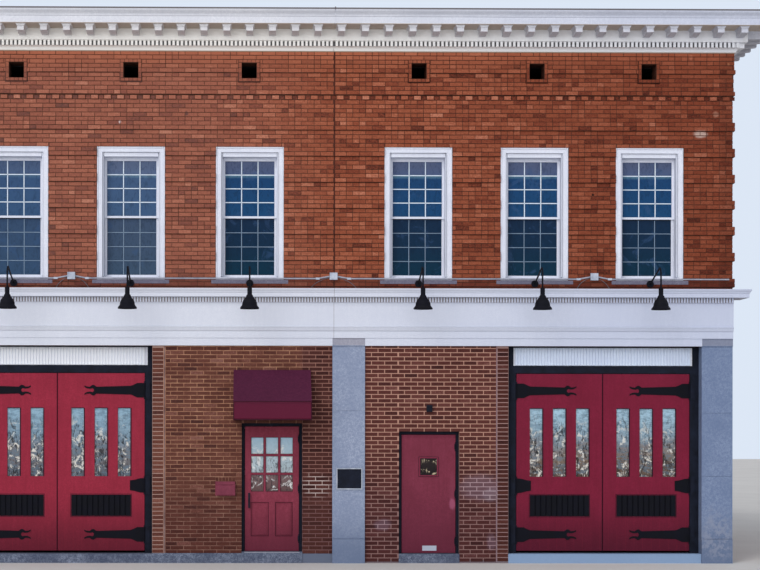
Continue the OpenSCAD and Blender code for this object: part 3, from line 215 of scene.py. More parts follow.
class Shader:
    """One procedural material, with its places taken from the object's own frame."""

    def __init__(self, name, rough=0.7, **sockets):
        self.mat = bpy.data.materials.new(name)
        self.mat.use_nodes = True
        self.tree = self.mat.node_tree
        self.tree.nodes.clear()
        out = self.node("ShaderNodeOutputMaterial")
        self.bsdf = self.node("ShaderNodeBsdfPrincipled")
        self.tree.links.new(self.bsdf.outputs[0], out.inputs[0])
        self.place = self.node("ShaderNodeTexCoord").outputs["Object"]
        self.bsdf.inputs["Roughness"].default_value = rough
        self.bsdf.inputs["Specular IOR Level"].default_value = 0.22
        for key, value in sockets.items():
            self.bsdf.inputs[key.replace("_", " ")].default_value = value
        self.normal = None

    def node(self, kind, **props):
        """A new node with its properties set."""
        made = self.tree.nodes.new(kind)
        for key, value in props.items():
            setattr(made, key, value)
        return made

    def put(self, socket, value):
        """A link or a plain value into a socket."""
        if isinstance(value, bpy.types.NodeSocket):
            self.tree.links.new(value, socket)
        else:
            socket.default_value = value

    def noise(self, scale, detail=4.0, rough=0.55, stretch=None, warp=0.0):
        """Fractal noise, squeezed along each axis by the stretch."""
        node = self.node("ShaderNodeTexNoise")
        place = self.place
        if stretch:
            mapping = self.node("ShaderNodeMapping")
            self.put(mapping.inputs["Vector"], place)
            mapping.inputs["Scale"].default_value = stretch
            place = mapping.outputs[0]
        self.put(node.inputs["Vector"], place)
        for key, value in (("Scale", scale), ("Detail", detail), ("Roughness", rough), ("Distortion", warp)):
            node.inputs[key].default_value = value
        return node.outputs["Fac"]

    def cells(self, scale):
        """The distance to the nearest of many scattered points."""
        node = self.node("ShaderNodeTexVoronoi")
        self.put(node.inputs["Vector"], self.place)
        node.inputs["Scale"].default_value = scale
        return node.outputs["Distance"]

    def tone(self):
        """The tone that a heap gave to each of its points."""
        return self.node("ShaderNodeAttribute", attribute_name="tone").outputs["Fac"]

    def axis(self, index):
        """One coordinate of the place."""
        node = self.node("ShaderNodeSeparateXYZ")
        self.put(node.inputs[0], self.place)
        return node.outputs[index]

    def math(self, kind, a, b=0.0, clamp=False):
        """One sum of two values."""
        node = self.node("ShaderNodeMath", operation=kind, use_clamp=clamp)
        self.put(node.inputs[0], a)
        self.put(node.inputs[1], b)
        return node.outputs[0]

    def sway(self, value, reach):
        """A value about a half as one about nought, times the reach."""
        return self.math("MULTIPLY", self.math("SUBTRACT", value, 0.5), reach)

    def span(self, value, low, high, to_low=0.0, to_high=1.0):
        """A value from low to high as a smooth step between two others."""
        node = self.node("ShaderNodeMapRange", interpolation_type="SMOOTHSTEP")
        self.put(node.inputs["Value"], value)
        for key, number in (("From Min", low), ("From Max", high), ("To Min", to_low), ("To Max", to_high)):
            node.inputs[key].default_value = number
        return node.outputs[0]

    def span_line(self, value, low, high):
        """How far a value is from low to high, held within nought to one."""
        return self.math("DIVIDE", self.math("SUBTRACT", value, low), high - low, clamp=True)

    def ramp(self, value, *stops):
        """Colours along a value: (place, linear colour)."""
        node = self.node("ShaderNodeValToRGB")
        self.put(node.inputs[0], value)
        band = node.color_ramp
        while len(band.elements) < len(stops):
            band.elements.new(0.5)
        for element, (at, colour) in zip(band.elements, stops):
            element.position, element.color = at, colour
        return node.outputs[0]

    def mix(self, amount, a, b, kind="MIX"):
        """Two colours mixed; 6, 7 and 2 are the node's colour sockets."""
        node = self.node("ShaderNodeMix", data_type="RGBA", blend_type=kind)
        self.put(node.inputs[0], amount)
        self.put(node.inputs[6], a)
        self.put(node.inputs[7], b)
        return node.outputs[2]

    def dust(self, colour, over, value, low, high, most):
        """Another colour that comes in as a value goes from low to high."""
        return self.mix(self.span(value, low, high, 0.0, most), colour, over)

    def spot(self, x, z, half_x, half_z, ragged=0.5, scale=9.0):
        """One inside an ellipse on a front face, nought outside, with a ragged edge."""
        dx = self.math("DIVIDE", self.math("SUBTRACT", self.axis(X), x), half_x)
        dz = self.math("DIVIDE", self.math("SUBTRACT", self.axis(Z), z), half_z)
        squares = self.math("MULTIPLY", dx, dx), self.math("MULTIPLY", dz, dz)
        far = self.math("SQRT", self.math("ADD", *squares))
        edge = self.sway(self.noise(scale, 5.0, 0.7), 2.0 * ragged)
        return self.span(self.math("ADD", far, edge), 0.55, 1.25, 1.0, 0.0)

    def dabs(self, colour, spots):
        """Colours inside ragged ellipses: (x, z, half_x, half_z, colour, most)."""
        for x, z, half_x, half_z, rgb, most in spots:
            amount = self.math("MULTIPLY", self.spot(x, z, half_x, half_z), most)
            colour = self.mix(amount, colour, tint(*rgb))
        return colour

    def band(self, index, low, high, soft=0.002):
        """One between two places along an axis, nought outside them."""
        value = self.axis(index)
        return self.math("MULTIPLY", self.span(value, low - soft, low + soft),
                         self.span(value, high - soft, high + soft, 1.0, 0.0))

    def within(self, colour, zones):
        """Colours inside boxes: ((axis, low, high), ...), colour, most."""
        for sides, rgb, most in zones:
            amount = most
            for index, low, high in sides:
                amount = self.math("MULTIPLY", self.band(index, low, high), amount)
            colour = self.mix(amount, colour, tint(*rgb))
        return colour

    def drift(self, colour, fades):
        """Colours that come in along an axis: (axis, from, to, colour, most, blend)."""
        for index, low, high, rgb, most, kind in fades:
            amount = self.span(self.axis(index), min(low, high), max(low, high), 0.0, most)
            if low > high:
                amount = self.math("SUBTRACT", most, amount)
            colour = self.mix(amount, colour, tint(*rgb), kind)
        return colour

    def bump(self, height, depth, strength=1.0):
        """Relief of a depth in metres, over what relief there is."""
        node = self.node("ShaderNodeBump")
        node.inputs["Distance"].default_value = depth
        node.inputs["Strength"].default_value = strength
        self.put(node.inputs["Height"], height)
        if self.normal:
            self.put(node.inputs["Normal"], self.normal)
        self.normal = node.outputs[0]
        self.put(self.bsdf.inputs["Normal"], self.normal)

    def base(self, colour):
        """The finished material with its colour."""
        self.put(self.bsdf.inputs["Base Color"], colour)
        return self.mat

    def roughness(self, value, low, high):
        """Roughness that follows a value."""
        self.put(self.bsdf.inputs["Roughness"], self.span(value, 0.0, 1.0, low, high))


def paint(name, light, dark, rough=0.5, patch=1.4, streak=0.35, metal=False, fades=(), zones=(),
          planks=0.0, spots=()):
    """Weathered paint: broad patches, rain streaks, brush or roller grain and fine dirt."""
    s = Shader(name, rough)
    light, dark = tint(*light), tint(*dark)
    broad = s.noise(patch, 5.0, 0.6)
    streaks = s.noise(3.0, 4.0, 0.65, stretch=(7.0, 7.0, 0.7))
    amount = s.math("ADD", s.math("MULTIPLY", broad, 1.0 - streak), s.math("MULTIPLY", streaks, streak))
    colour = s.ramp(amount, (0.30, dark), (0.68, light))
    fine = s.noise(60.0, 3.0, 0.6)
    colour = s.dust(colour, dark, fine, 0.42, 0.66, 0.60)
    colour = s.dust(colour, dark, s.noise(24.0, 4.0, 0.7), 0.42, 0.62, 0.5)
    colour = s.dabs(s.within(s.drift(colour, fades), zones), spots)
    s.roughness(fine, rough - 0.10, rough + 0.18)
    if planks:
        across = s.math("PINGPONG", s.axis(X), planks / 2)
        colour = s.mix(s.span(across, 0.0, 0.006, 0.22, 0.0), colour, dark)
    if metal:
        s.bump(s.noise(5.0, 2.0, 0.4), 0.006)
    s.bump(s.noise(220.0, 3.0, 0.6), 0.0004)
    return s.base(colour)


def brick(name, stops, shade=1.0, spots=(), fades=()):
    """Fired brick: a tone for each one, sandy speckle, soot and worn patches."""
    s = Shader(name, 0.86)
    fine = s.noise(95.0, 5.0, 0.7)
    tone = s.math("ADD", s.tone(), s.sway(s.noise(20.0, 5.0, 0.68, stretch=(1.0, 1.0, 2.2)), 0.60))
    tone = s.math("ADD", tone, s.sway(s.noise(48.0, 3.0, 0.6), 0.7))
    colour = s.ramp(tone, *[(at, tint(*[c * shade for c in rgb])) for at, rgb in stops])
    colour = s.mix(s.span(fine, 0.35, 0.75, 0.25, 0.0), colour, tint(60, 34, 30))
    colour = s.dust(colour, tint(50, 24, 20), s.noise(46.0, 4.0, 0.7), 0.60, 0.70, 0.45)
    soot = s.noise(2.2, 5.0, 0.7, stretch=(2.5, 2.5, 0.5))
    colour = s.dust(colour, tint(66, 40, 36), soot, 0.55, 0.80, 0.30)
    colour = s.drift(s.dabs(colour, spots), fades)
    s.bump(s.noise(38.0, 4.0, 0.65), 0.0022)
    s.bump(fine, 0.0012)
    return s.base(colour)


def mortar(name, light, dark, broken=0.3, spots=(), fades=(), zones=()):
    """Sandy mortar, darker where the joints hold soot."""
    s = Shader(name, 0.93)
    light, dark = tint(*light), tint(*dark)
    grit = s.noise(140.0, 4.0, 0.7)
    colour = s.ramp(s.noise(3.0, 5.0, 0.65), (0.32, dark), (0.66, light))
    colour = s.mix(s.span(grit, 0.42, 0.70, 0.30, 0.0), colour, dark)
    colour = s.dust(colour, dark, s.noise(13.0, 5.0, 0.7), 0.44, 0.62, broken)
    colour = s.within(s.dabs(s.drift(colour, fades), spots), zones)
    s.bump(grit, 0.0012)
    return s.base(colour)


def stone(name, light, dark, foot=None, pits=0.4, fades=(), spall=None):
    """Cast stone or concrete: gritty grey, pits, faint streaks, a damp dark foot and a worn place."""
    s = Shader(name, 0.82)
    light, dark = tint(*light), tint(*dark)
    colour = s.ramp(s.noise(1.6, 6.0, 0.70), (0.25, dark), (0.75, light))
    grit = s.noise(70.0, 5.0, 0.75)
    colour = s.dust(colour, dark, grit, 0.42, 0.60, 0.80)
    colour = s.dust(colour, dark, s.noise(22.0, 5.0, 0.72), 0.42, 0.60, 0.7)
    colour = s.dust(colour, dark, s.noise(2.4, 5.0, 0.7, stretch=(9.0, 9.0, 0.45)), 0.52, 0.80, 0.30)
    colour = s.drift(colour, fades)
    hole = s.cells(34.0)
    colour = s.mix(s.span(hole, 0.02, 0.10, pits, 0.0), colour, dark)
    if foot:
        level = s.math("ADD", s.axis(Z), s.math("MULTIPLY", s.noise(4.0, 4.0, 0.7), -0.35))
        colour = s.mix(s.span(level, -0.10, 0.80, 0.75, 0.0), colour, tint(*foot))
    if spall:
        x, z, half_x, half_z, rgb, most = spall
        patch = s.math("MULTIPLY", s.spot(x, z, half_x, half_z, 0.7, 6.0),
                       s.span(s.noise(14.0, 5.0, 0.7), 0.42, 0.58))
        colour = s.mix(s.math("MULTIPLY", patch, most), colour, tint(*rgb))
    s.bump(s.span(hole, 0.02, 0.12), 0.0015)
    s.bump(grit, 0.0012)
    return s.base(colour)


def iron(name, light, dark, rough=0.5, metal=0.2, zones=()):
    """Painted iron with hammered unevenness and dull dust."""
    s = Shader(name, rough, Metallic=metal)
    light, dark = tint(*light), tint(*dark)
    cloud = s.noise(9.0, 5.0, 0.6)
    fine = s.noise(90.0, 4.0, 0.65)
    colour = s.dust(s.ramp(cloud, (0.32, dark), (0.72, light)), light, fine, 0.55, 0.80, 0.35)
    colour = s.within(colour, zones)
    s.roughness(cloud, rough - 0.08, rough + 0.25)
    s.bump(s.noise(30.0, 3.0, 0.5), 0.0012)
    s.bump(fine, 0.0004)
    return s.base(colour)


def pane(name, levels, vary=0.35, reflected_branches=None, fades=(), patches=None, fine=9.0, ripple=0.0):
    """Old glass whose colour is painted reflection: soft bands of colour from the foot up, with ripples and a
    dark web of reflected branches.

    Patches, pale painted reflections and highlights, are (colour, least noise, most, scale, low, high) and
    the reflected branches are (colour, low, high, most); both fade out from the low level to the high one.
    """
    s = Shader(name, 0.08, Specular_IOR_Level=0.12)
    low, high = levels[0][0], levels[-1][0]
    level = s.math("ADD", s.axis(Z), s.sway(s.noise(2.2, 4.0, 0.65), vary))
    colour = s.ramp(s.span_line(level, low, high),
                    *[((z - low) / (high - low), tint(*rgb)) for z, rgb in levels])
    colour = s.drift(colour, fades)
    if ripple:
        waves = s.noise(7.0, 5.0, 0.7, stretch=(1.0, 1.0, 3.6), warp=0.8)
        colour = s.dust(colour, tint(96, 122, 140), waves, 0.46, 0.56, ripple)
    if patches:
        rgb, least, most, size, z0, z1 = patches
        spots = s.span(s.noise(size, 5.0, 0.7, warp=1.0), least, least + 0.08, 0.0, most)
        colour = s.mix(s.math("MULTIPLY", spots, s.span(level, z0, z1, 1.0, 0.0)), colour, tint(*rgb))
    if reflected_branches:
        rgb, z0, z1, most = reflected_branches
        threads = s.span(s.noise(fine, 6.0, 0.75, stretch=(1.9, 1.9, 0.8), warp=1.4), 0.50, 0.60, 0.0, most)
        colour = s.mix(s.math("MULTIPLY", threads, s.span(level, z0, z1, 1.0, 0.12)), colour, tint(*rgb))
    s.bump(s.noise(3.5, 2.0, 0.4), 0.003, 0.4)
    s.roughness(s.noise(14.0, 4.0, 0.6), 0.05, 0.18)
    return s.base(colour)


# Brick colours along the tone, and worn places on the walls; one small near-black spot among them is painted
# shade standing for a hole
UPPER_STOPS = ((0.00, (50, 24, 18)), (0.16, (96, 46, 32)), (0.34, (128, 64, 44)),
               (0.58, (148, 80, 55)), (0.82, (168, 98, 72)), (1.00, (190, 124, 98)))
LEFT_STOPS = ((0.00, (58, 34, 32)), (0.18, (82, 47, 42)), (0.40, (100, 58, 48)),
              (0.62, (110, 66, 54)), (0.85, (124, 78, 66)), (1.00, (146, 100, 88)))
RIGHT_STOPS = ((0.00, (50, 26, 28)), (0.18, (72, 36, 34)), (0.40, (88, 46, 42)),
               (0.62, (100, 54, 48)), (0.85, (114, 66, 60)), (1.00, (136, 92, 84)))
# The third spot is painted shade standing for a small hole
WORN_AND_HOLE_SHADE = ((5.93, 6.93, 0.11, 0.06, (214, 196, 186), 0.85), (6.18, 7.25, 0.05, 0.05, (190, 150, 130), 0.5),
        (4.19, 5.95, 0.022, 0.022, (34, 16, 14), 0.95), (-3.44, 7.10, 0.022, 0.032, (226, 206, 204), 0.9),
        (-2.37, 7.24, 0.030, 0.040, (58, 34, 34), 0.8), (5.77, 8.17, 0.030, 0.050, (206, 142, 116), 0.7),
        (6.38, 8.06, 0.020, 0.030, (200, 150, 110), 0.7))
WASH = ((2.36, 1.22, 0.34, 0.22, (172, 150, 160), 0.65), (2.55, 1.10, 0.14, 0.12, (184, 168, 174), 0.6),
        (0.80, 0.62, 0.14, 0.10, (172, 150, 160), 0.5), (2.56, 0.34, 0.08, 0.14, (172, 150, 160), 0.45))
THIN_WASH = [(*spot[:5], 0.20) for spot in WASH]
NEW_JOINTS = ((-0.27, 1.25, 0.24, 0.20, (206, 188, 182), 0.9),)
# Painted shade: white paint multiplied darker towards the right end of the front
EAST_SHADE = (X, -2.0, 6.4, (232, 236, 246), 1.0, "MULTIPLY")

# By name, less the number that Blender adds where the CAD already has a material of that name
LOOKS = {look.name.split(".")[0]: look for look in (
    # Front bricks: paler towards the left, a painted shadow over the lowest courses at the foot of the upper
    # wall, painted light making the courses under the cornice lighter where its shadow falls, and painted
    # shade darker towards the right end
    brick("brick_front", UPPER_STOPS, 1.03, WORN_AND_HOLE_SHADE,
          [(X, 0.4, -2.4, (150, 112, 104), 0.22, "MIX"), (Z, 4.585, 4.545, (74, 30, 28), 0.6, "MIX"),
           (Z, 7.86, 8.24, (190, 112, 82), 0.55, "MIX"), (X, 0.0, 6.4, (220, 208, 204), 1.0, "MULTIPLY"),
           (X, 6.2, 6.3, (230, 230, 232), 1.0, "MULTIPLY")]),
    brick("brick_sides", UPPER_STOPS, 0.98),
    brick("brick_left", LEFT_STOPS, 0.93, fades=[(Z, 1.6, 0.4, (220, 208, 214), 1.0, "MULTIPLY")]),
    brick("brick_deep", RIGHT_STOPS, 0.76),
    brick("brick_right", RIGHT_STOPS, 0.92, THIN_WASH, [(Z, 2.2, 0.6, (214, 210, 226), 1.0, "MULTIPLY")]),
    brick("brick_quoin", LEFT_STOPS, fades=[(X, 0.0, 1.0, (190, 176, 186), 1.0, "MULTIPLY")]),
    mortar("mortar_upper", (124, 80, 62), (64, 42, 34), 0.7, fades=[(X, -1.2, 1.2, (62, 30, 24), 0.5, "MIX")],
           zones=[(((X, 0.0, 0.030),), (74, 40, 32), 1.0)]),
    mortar("mortar_lower", (206, 158, 126), (128, 84, 68), 0.45, NEW_JOINTS + WASH,
           [(X, -0.56, -0.50, (150, 108, 98), 0.85, "MIX"), (X, 0.4, 0.6, (184, 142, 124), 0.85, "MIX"),
            (Z, 2.2, 0.6, (200, 202, 222), 1.0, "MULTIPLY"), (X, -2.72, -2.75, (178, 147, 136), 0.9, "MIX"),
            (X, 2.62, 2.66, (158, 130, 128), 0.7, "MIX")],
           [(((X, -7.0, -0.014), (Z, -0.1, 0.154)), (96, 104, 122), 1.0),
            (((X, 0.51, 2.83), (Z, -0.1, 0.05)), (104, 100, 108), 0.8)]),
    mortar("caulk", (156, 134, 132), (96, 74, 76), fades=[(X, 0.0, 1.0, (140, 118, 132), 0.7, "MIX")]),
    # Painted light and shade on the white cornice: painted light makes everything below the soffit lighter
    # and warmer, the soffit gets a brown-beige painted shade, the dentil recesses a near-black painted shade,
    # and the paint is darker towards the right end; the top edge has a dark line and the foot is browner
    paint("white_metal", (224, 225, 230), (200, 202, 210), 0.45, metal=True,
          fades=[(Z, 8.574, 8.570, (250, 247, 240), 0.85, "MIX"), EAST_SHADE,
                 (Z, 8.782, 8.788, (80, 72, 72), 0.9, "MIX"), (Z, 8.252, 8.244, (150, 128, 100), 0.8, "MIX")],
          zones=[(((Z, 8.568, 8.578),), (186, 170, 152), 0.9),
                 (((X, -6.46, 6.46), (Y, -6.137, -6.05), (Z, 8.309, 8.383)), (40, 37, 43), 0.88)]),
    paint("white_bracket", (226, 225, 226), (200, 199, 202), 0.45, metal=True, fades=[EAST_SHADE]),
    paint("white_wood", (226, 229, 238), (206, 210, 223)),
    # Painted light: the boards are whiter towards the left
    paint("white_boards", (222, 234, 250), (206, 218, 238),
          fades=[(X, -1.0, -4.0, (250, 250, 250), 0.7, "MIX")]),
    # Painted shade: the face behind the lower dentils is darker and browner, and the paint is darker towards
    # the right end; the dark upright line at the middle is the joint
    paint("white_fascia", (216, 219, 228), (203, 207, 219), patch=0.8, fades=[EAST_SHADE],
          zones=[(((Y, -6.119, -6.108), (Z, 4.199, 4.277)), (128, 112, 104), 0.8),
                 (((X, 0.002, 0.008), (Z, 3.50, 4.42)), (112, 104, 110), 0.8)]),
    paint("bars_upper", (232, 240, 246), (210, 222, 234), patch=3.0),
    paint("bars_lower", (156, 174, 190), (116, 136, 158), 0.6, 3.0),
    # Painted shade: the stone is multiplied darker towards the right
    stone("stone", (172, 181, 200), (124, 136, 162), (92, 106, 132),
          fades=[(Z, 3.505, 3.515, (168, 158, 158), 0.45, "MIX"),
                 (X, 2.0, 6.0, (214, 224, 236), 1.0, "MULTIPLY")],
          spall=(6.2, 0.45, 0.30, 0.42, (150, 154, 168), 0.45)),
    stone("sill_stone", (136, 132, 146), (96, 94, 112), pits=0.3),
    stone("concrete", (118, 126, 140), (88, 96, 108), (70, 76, 88)),
    stone("sills", (150, 159, 178), (64, 72, 92), fades=[(X, 2.4, 2.7, (134, 158, 189), 0.9, "MIX")]),
    iron("iron", (28, 33, 48), (11, 14, 24)),
    iron("dark_iron", (13, 13, 24), (2, 2, 8), 0.6, 0.1),
    iron("exit_iron", (26, 30, 42), (8, 10, 18),
         zones=[(((X, 1.37, 1.73), (Z, 1.37, 1.73)), (126, 46, 66), 1.0),
                (((X, 1.40, 1.72), (Z, 0.18, 0.30)), (176, 182, 196), 1.0)]),
    iron("galvanised", (206, 212, 224), (150, 158, 174),
         zones=[(((Y, -6.0595, -5.9),), (134, 130, 142), 0.6)]),
    iron("cable", (128, 122, 128), (82, 78, 86), 0.6),
    # Painted light and shade: the leaves are lighter on the left and multiplied darker towards the right;
    # they are also darker towards the foot
    paint("red_door", (159, 44, 66), (131, 31, 50), patch=2.4, streak=0.5, planks=0.14,
          fades=[(X, -2.0, 2.0, (206, 178, 222), 1.0, "MULTIPLY"), (Z, 1.2, 0.2, (50, 4, 24), 0.62, "MIX")]),
    # Painted shade: the dark lines are multiplied darker towards the right
    paint("red_line", (70, 14, 34), (48, 8, 26), 0.6,
          fades=[(X, -2.0, 2.0, (210, 200, 230), 1.0, "MULTIPLY")]),
    paint("red_entrance", (144, 60, 79), (114, 41, 57), patch=2.4, streak=0.5,
          fades=[(Z, 1.1, 0.2, (78, 24, 42), 0.65, "MIX")]),
    paint("red_exit", (131, 54, 75), (106, 38, 55), 0.48, 2.0, 0.4,
          fades=[(Z, 1.6, 0.2, (80, 24, 44), 0.6, "MIX")],
          spots=[(1.935, 0.95, 0.05, 0.09, (170, 92, 122), 0.6),
                 (1.93, 1.20, 0.05, 0.30, (150, 72, 96), 0.2)]),
    paint("red_box", (142, 66, 86), (106, 46, 62), patch=4.0),
    # Painted reflection: each glass is coloured by height and along the front with the sky, trees and
    # branches it mirrors, and the exit door's glass has pale painted highlights
    pane("glass_windows", ((4.60, (0, 44, 62)), (5.10, (10, 40, 64)), (RAIL_Z - 0.02, (14, 38, 64)),
                           (RAIL_Z + 0.02, (20, 66, 106)), (6.22, (22, 60, 100)), (6.27, (84, 120, 140)),
                           (6.29, (70, 84, 116)), (6.60, (90, 98, 124))),
         0.05, ((4, 20, 40), 9.0, 9.1, 0.30), patches=((52, 80, 118), 0.56, 0.40, 3.0, 9.0, 9.1),
         fades=[(X, -2.4, -2.6, (96, 114, 140), 0.34, "MIX"), (X, -4.0, -4.2, (28, 66, 104), 0.34, "MIX")]),
    pane("glass_doors", ((1.36, (84, 68, 58)), (1.66, (120, 104, 92)), (1.90, (128, 126, 128)),
                         (2.12, (146, 170, 184)), (2.55, (164, 198, 216))),
         0.7, ((34, 30, 30), 1.95, 2.6, 0.92), patches=((222, 218, 208), 0.53, 0.9, 8.0, 1.9, 2.5),
         fades=[(X, -2.0, -2.6, (84, 116, 142), 0.30, "MIX")], fine=8.5, ripple=0.55),
    pane("glass_entrance", ((1.15, (96, 72, 72)), (1.40, (120, 100, 100)), (1.46, (176, 190, 196)),
                            (1.70, (180, 200, 208)), (2.02, (166, 196, 214))),
         0.12, ((56, 52, 56), 1.55, 1.85, 0.8), patches=((228, 230, 228), 0.54, 0.85, 6.0, 1.9, 2.0),
         fine=12.0),
    pane("glass_exit", ((1.42, (30, 24, 26)), (1.68, (44, 37, 36))), 0.1,
         patches=((206, 190, 158), 0.55, 0.8, 7.0, 9.0, 9.1)),
    paint("awning", (87, 32, 60), (69, 22, 47), 0.75, 3.0, 0.6,
          fades=[(Z, 2.60, 2.585, (90, 24, 47), 0.85, "MIX"), (Z, 2.34, 2.325, (84, 12, 36), 0.9, "MIX")]),
    paint("floor_wood", (132, 110, 84), (98, 80, 60), 0.6, streak=0.2),
    paint("roofing", (78, 80, 84), (50, 52, 56), 0.85, 0.7, planks=1.0),
)}

# Looks of the CAD nodes
NODE_LOOKS = {
    "ground_slab": "concrete", "upper_floor": "floor_wood", "roof_deck": "roofing",
    "front_wall_ground": "mortar_lower", "front_wall_lintels": "mortar_lower",
    "front_wall_upper": "mortar_upper", "side_walls": "mortar_upper", "rear_wall": "mortar_upper",
    "brick_bands": "mortar_upper", "stone_piers": "stone", "door_sills": "sills",
    "door_frames": "iron", "transom_panels": "white_wood", "window_frames": "white_wood",
    "window_glass": "glass_windows", "window_sills": "sill_stone", "cornice_front": "white_metal",
    "cornice_returns": "white_metal", "cornice_brackets": "white_bracket", "cornice_dentils": "white_metal",
    "lower_cornice": "white_fascia", "wall_conduit": "galvanised", "lamp_arms": "dark_iron",
    "lamp_shades": "dark_iron", "entrance_awning": "awning", "mail_box": "red_box", "pier_plaque": "iron",
    "exit_fixture": "iron", "entrance_leaf": "red_entrance", "entrance_glass": "glass_entrance",
    "entrance_hardware": "iron", "exit_leaf": "red_exit", "exit_glass": "glass_exit",
    "exit_hardware": "exit_iron",
}
for letter in "abcd":
    NODE_LOOKS["bay_leaf_" + letter] = "red_door"
    NODE_LOOKS["bay_glass_" + letter] = "glass_doors"
    NODE_LOOKS["bay_ironwork_" + letter] = "dark_iron"
for node, look in NODE_LOOKS.items():
    mesh = bpy.data.objects[node].data
    mesh.materials.clear()
    mesh.materials.append(LOOKS[look])


# Brickwork
def course_out(n):
    """How far the CAD brickwork stands out at an upper course."""
    if n < BANDED:
        return BAND_OUT if n >= 0 and n % 6 < 2 else 0.0
    if n < FIRST_STEP:
        return 0.0
    if n == FIRST_STEP:
        return 0.030
    if n == SECOND_STEP:
        return 0.036
    return 0.012 if n < SECOND_STEP else 0.020


def course_z(n):
    """The level of an upper course's foot; the top courses stand on the first step."""
    return STEP_Z + (n - FIRST_STEP) * COURSE if n >= FIRST_STEP else BAND_Z + n * COURSE


def window_rects(side):
    """The outsides of a side's windows; the front has none in its ground storey."""
    rows = [(x, WINDOW_Z) for x in (FRONT_WINDOWS if side in (FRONT, REAR) else SIDE_WINDOWS)]
    if side != FRONT:
        rows += [(x, LOW_WINDOW_Z) for x in SIDE_WINDOWS]
    return [(x - WINDOW_W / 2, x + WINDOW_W / 2, z, z + WINDOW_H) for x, z in rows]


def halved(rects, joint=0.008):
    """Some of the long bricks as two headers, more of them towards the right."""
    done = []
    for x0, x1, z0, z1 in rects:
        if x1 - x0 > 0.9 * (BRICK - joint) and rng.random() < (0.35 if x0 > -0.8 else 0.15):
            middle = (x0 + x1) / 2
            done += [(x0, middle - joint / 2, z0, z1), (middle + joint / 2, x1, z0, z1)]
        else:
            done.append((x0, x1, z0, z1))
    return done


def lay_wall(name, side, z_from, look):
    """Bricks over a wall's face and its bands, round windows, vents and piers."""
    heap = Heap()
    run = HALF_RUN[side]
    over = PROUD if side in (FRONT, REAR) else 0.0
    holes = window_rects(side)
    if side == FRONT:
        grow = (VENT_SIZE[0] / 2 + VENT_FRAME, VENT_SIZE[1] / 2 + VENT_FRAME)
        holes += [(x - grow[0], x + grow[0], VENT_Z - grow[1], VENT_Z + grow[1]) for x in VENTS]
        holes.append((*SEAM, z_from, CORNICE_Z))
    if side == RIGHT:
        holes.append((-run - 0.1, -run + PIER_DEPTH, 0.0, PIER_H))
    if side == LEFT:
        holes.append((run - PIER_DEPTH, run + 0.1, 0.0, PIER_H))
    first = math.floor((z_from - BAND_Z) / COURSE)
    for n in range(first, FIRST_STEP + math.ceil((CORNICE_Z - STEP_Z) / COURSE)):
        out = course_out(n)
        reach = run + out + over
        low, high = max(z_from, course_z(n)), min(CORNICE_Z, course_z(n + 1))
        if n == HEADERS and side == FRONT:
            # Projecting headers with short recessed bricks between them; painted light and shade: the headers
            # get bright tones and the recessed bricks dark ones
            xs = np.arange(-run + 0.05, run - 0.1, BRICK)
            headers = [(x, x + 0.112, low + 0.004, high - 0.014) for x in xs]
            heap.tiles(side, headers, 0.0, BAND_OUT - 0.002, 0.003, 0.62 + 0.35 * rng.random(len(xs)))
            between = [(x + 0.122, x + 0.198, low + 0.006, high - 0.014) for x in xs]
            heap.tiles(side, between, 0.0, 0.004, 0.002, 0.12 + 0.2 * rng.random(len(xs)))
            continue
        rects = brick_grid(-reach, reach, low, high, -run, course_z(n) - (n % 2) * COURSE,
                           COURSE, BRICK, 0.010, 0.007)
        rects = cut_out(rects, [h for h in holes if h[2] < high and h[3] > low])
        if side == FRONT:
            rects = halved(rects)
        tones = np.clip(rng.normal(0.57, 0.13, len(rects)), 0.05, 1.0)
        # One course in six holds more dark bricks
        burnt = 0.22 if 0 <= n < BANDED and n % 6 == 3 else 0.03
        tones = np.where(rng.random(len(rects)) < burnt, tones * 0.45, tones)
        heap.tiles(side, rects, out, out + PROUD, 0.0022, tones)
    heap.make(name, look, slot="upper_brick")


lay_wall("bricks_front", FRONT, BAND_Z - COURSE, "brick_front")
lay_wall("bricks_right", RIGHT, 0.0, "brick_sides")
lay_wall("bricks_rear", REAR, 0.0, "brick_sides")
lay_wall("bricks_left", LEFT, 0.0, "brick_sides")

# Bricks round the six vents, raised on the CAD frames, and painted shadow as dark strips beside and under
# them
vents = Heap()
half_w, half_h = VENT_SIZE[0] / 2, VENT_SIZE[1] / 2
wide, tall = half_w + VENT_FRAME, half_h + VENT_FRAME


def vent_brick(x0, x1, z0, z1):
    """One raised brick of a vent's frame, of a random tone."""
    vents.tiles(FRONT, [(x0, x1, z0, z1)], VENT_OUT, VENT_OUT + 0.003, 0.002, 0.3 + 0.3 * rng.random())


for x in VENTS:
    step = 2 * wide / 5
    for k in range(5):
        left = x - wide + k * step
        for low in (VENT_Z - tall, VENT_Z + half_h):
            vent_brick(left + 0.004, left + step - 0.004, low + 0.003, low + VENT_FRAME - 0.003)
    step = 2 * half_h / 3
    for k in range(3):
        low = VENT_Z - half_h + k * step
        for left in (x - wide, x + half_w):
            vent_brick(left + 0.003, left + VENT_FRAME - 0.003, low + 0.004, low + step - 0.004)
# Painted shadow: dark strips of the lowest brick tone beside and under each vent's frame
for x in VENTS:
    vents.tiles(FRONT, [(x - wide - 0.014, x - wide, VENT_Z - tall, VENT_Z + tall),
                        (x + wide, x + wide + 0.010, VENT_Z - tall, VENT_Z + tall),
                        (x - wide - 0.014, x + wide + 0.010, VENT_Z - tall - 0.016, VENT_Z - tall)],
                0.010, 0.030, 0.002, 0.0)
vents.make("vent_bricks", "brick_front", slot="upper_brick")

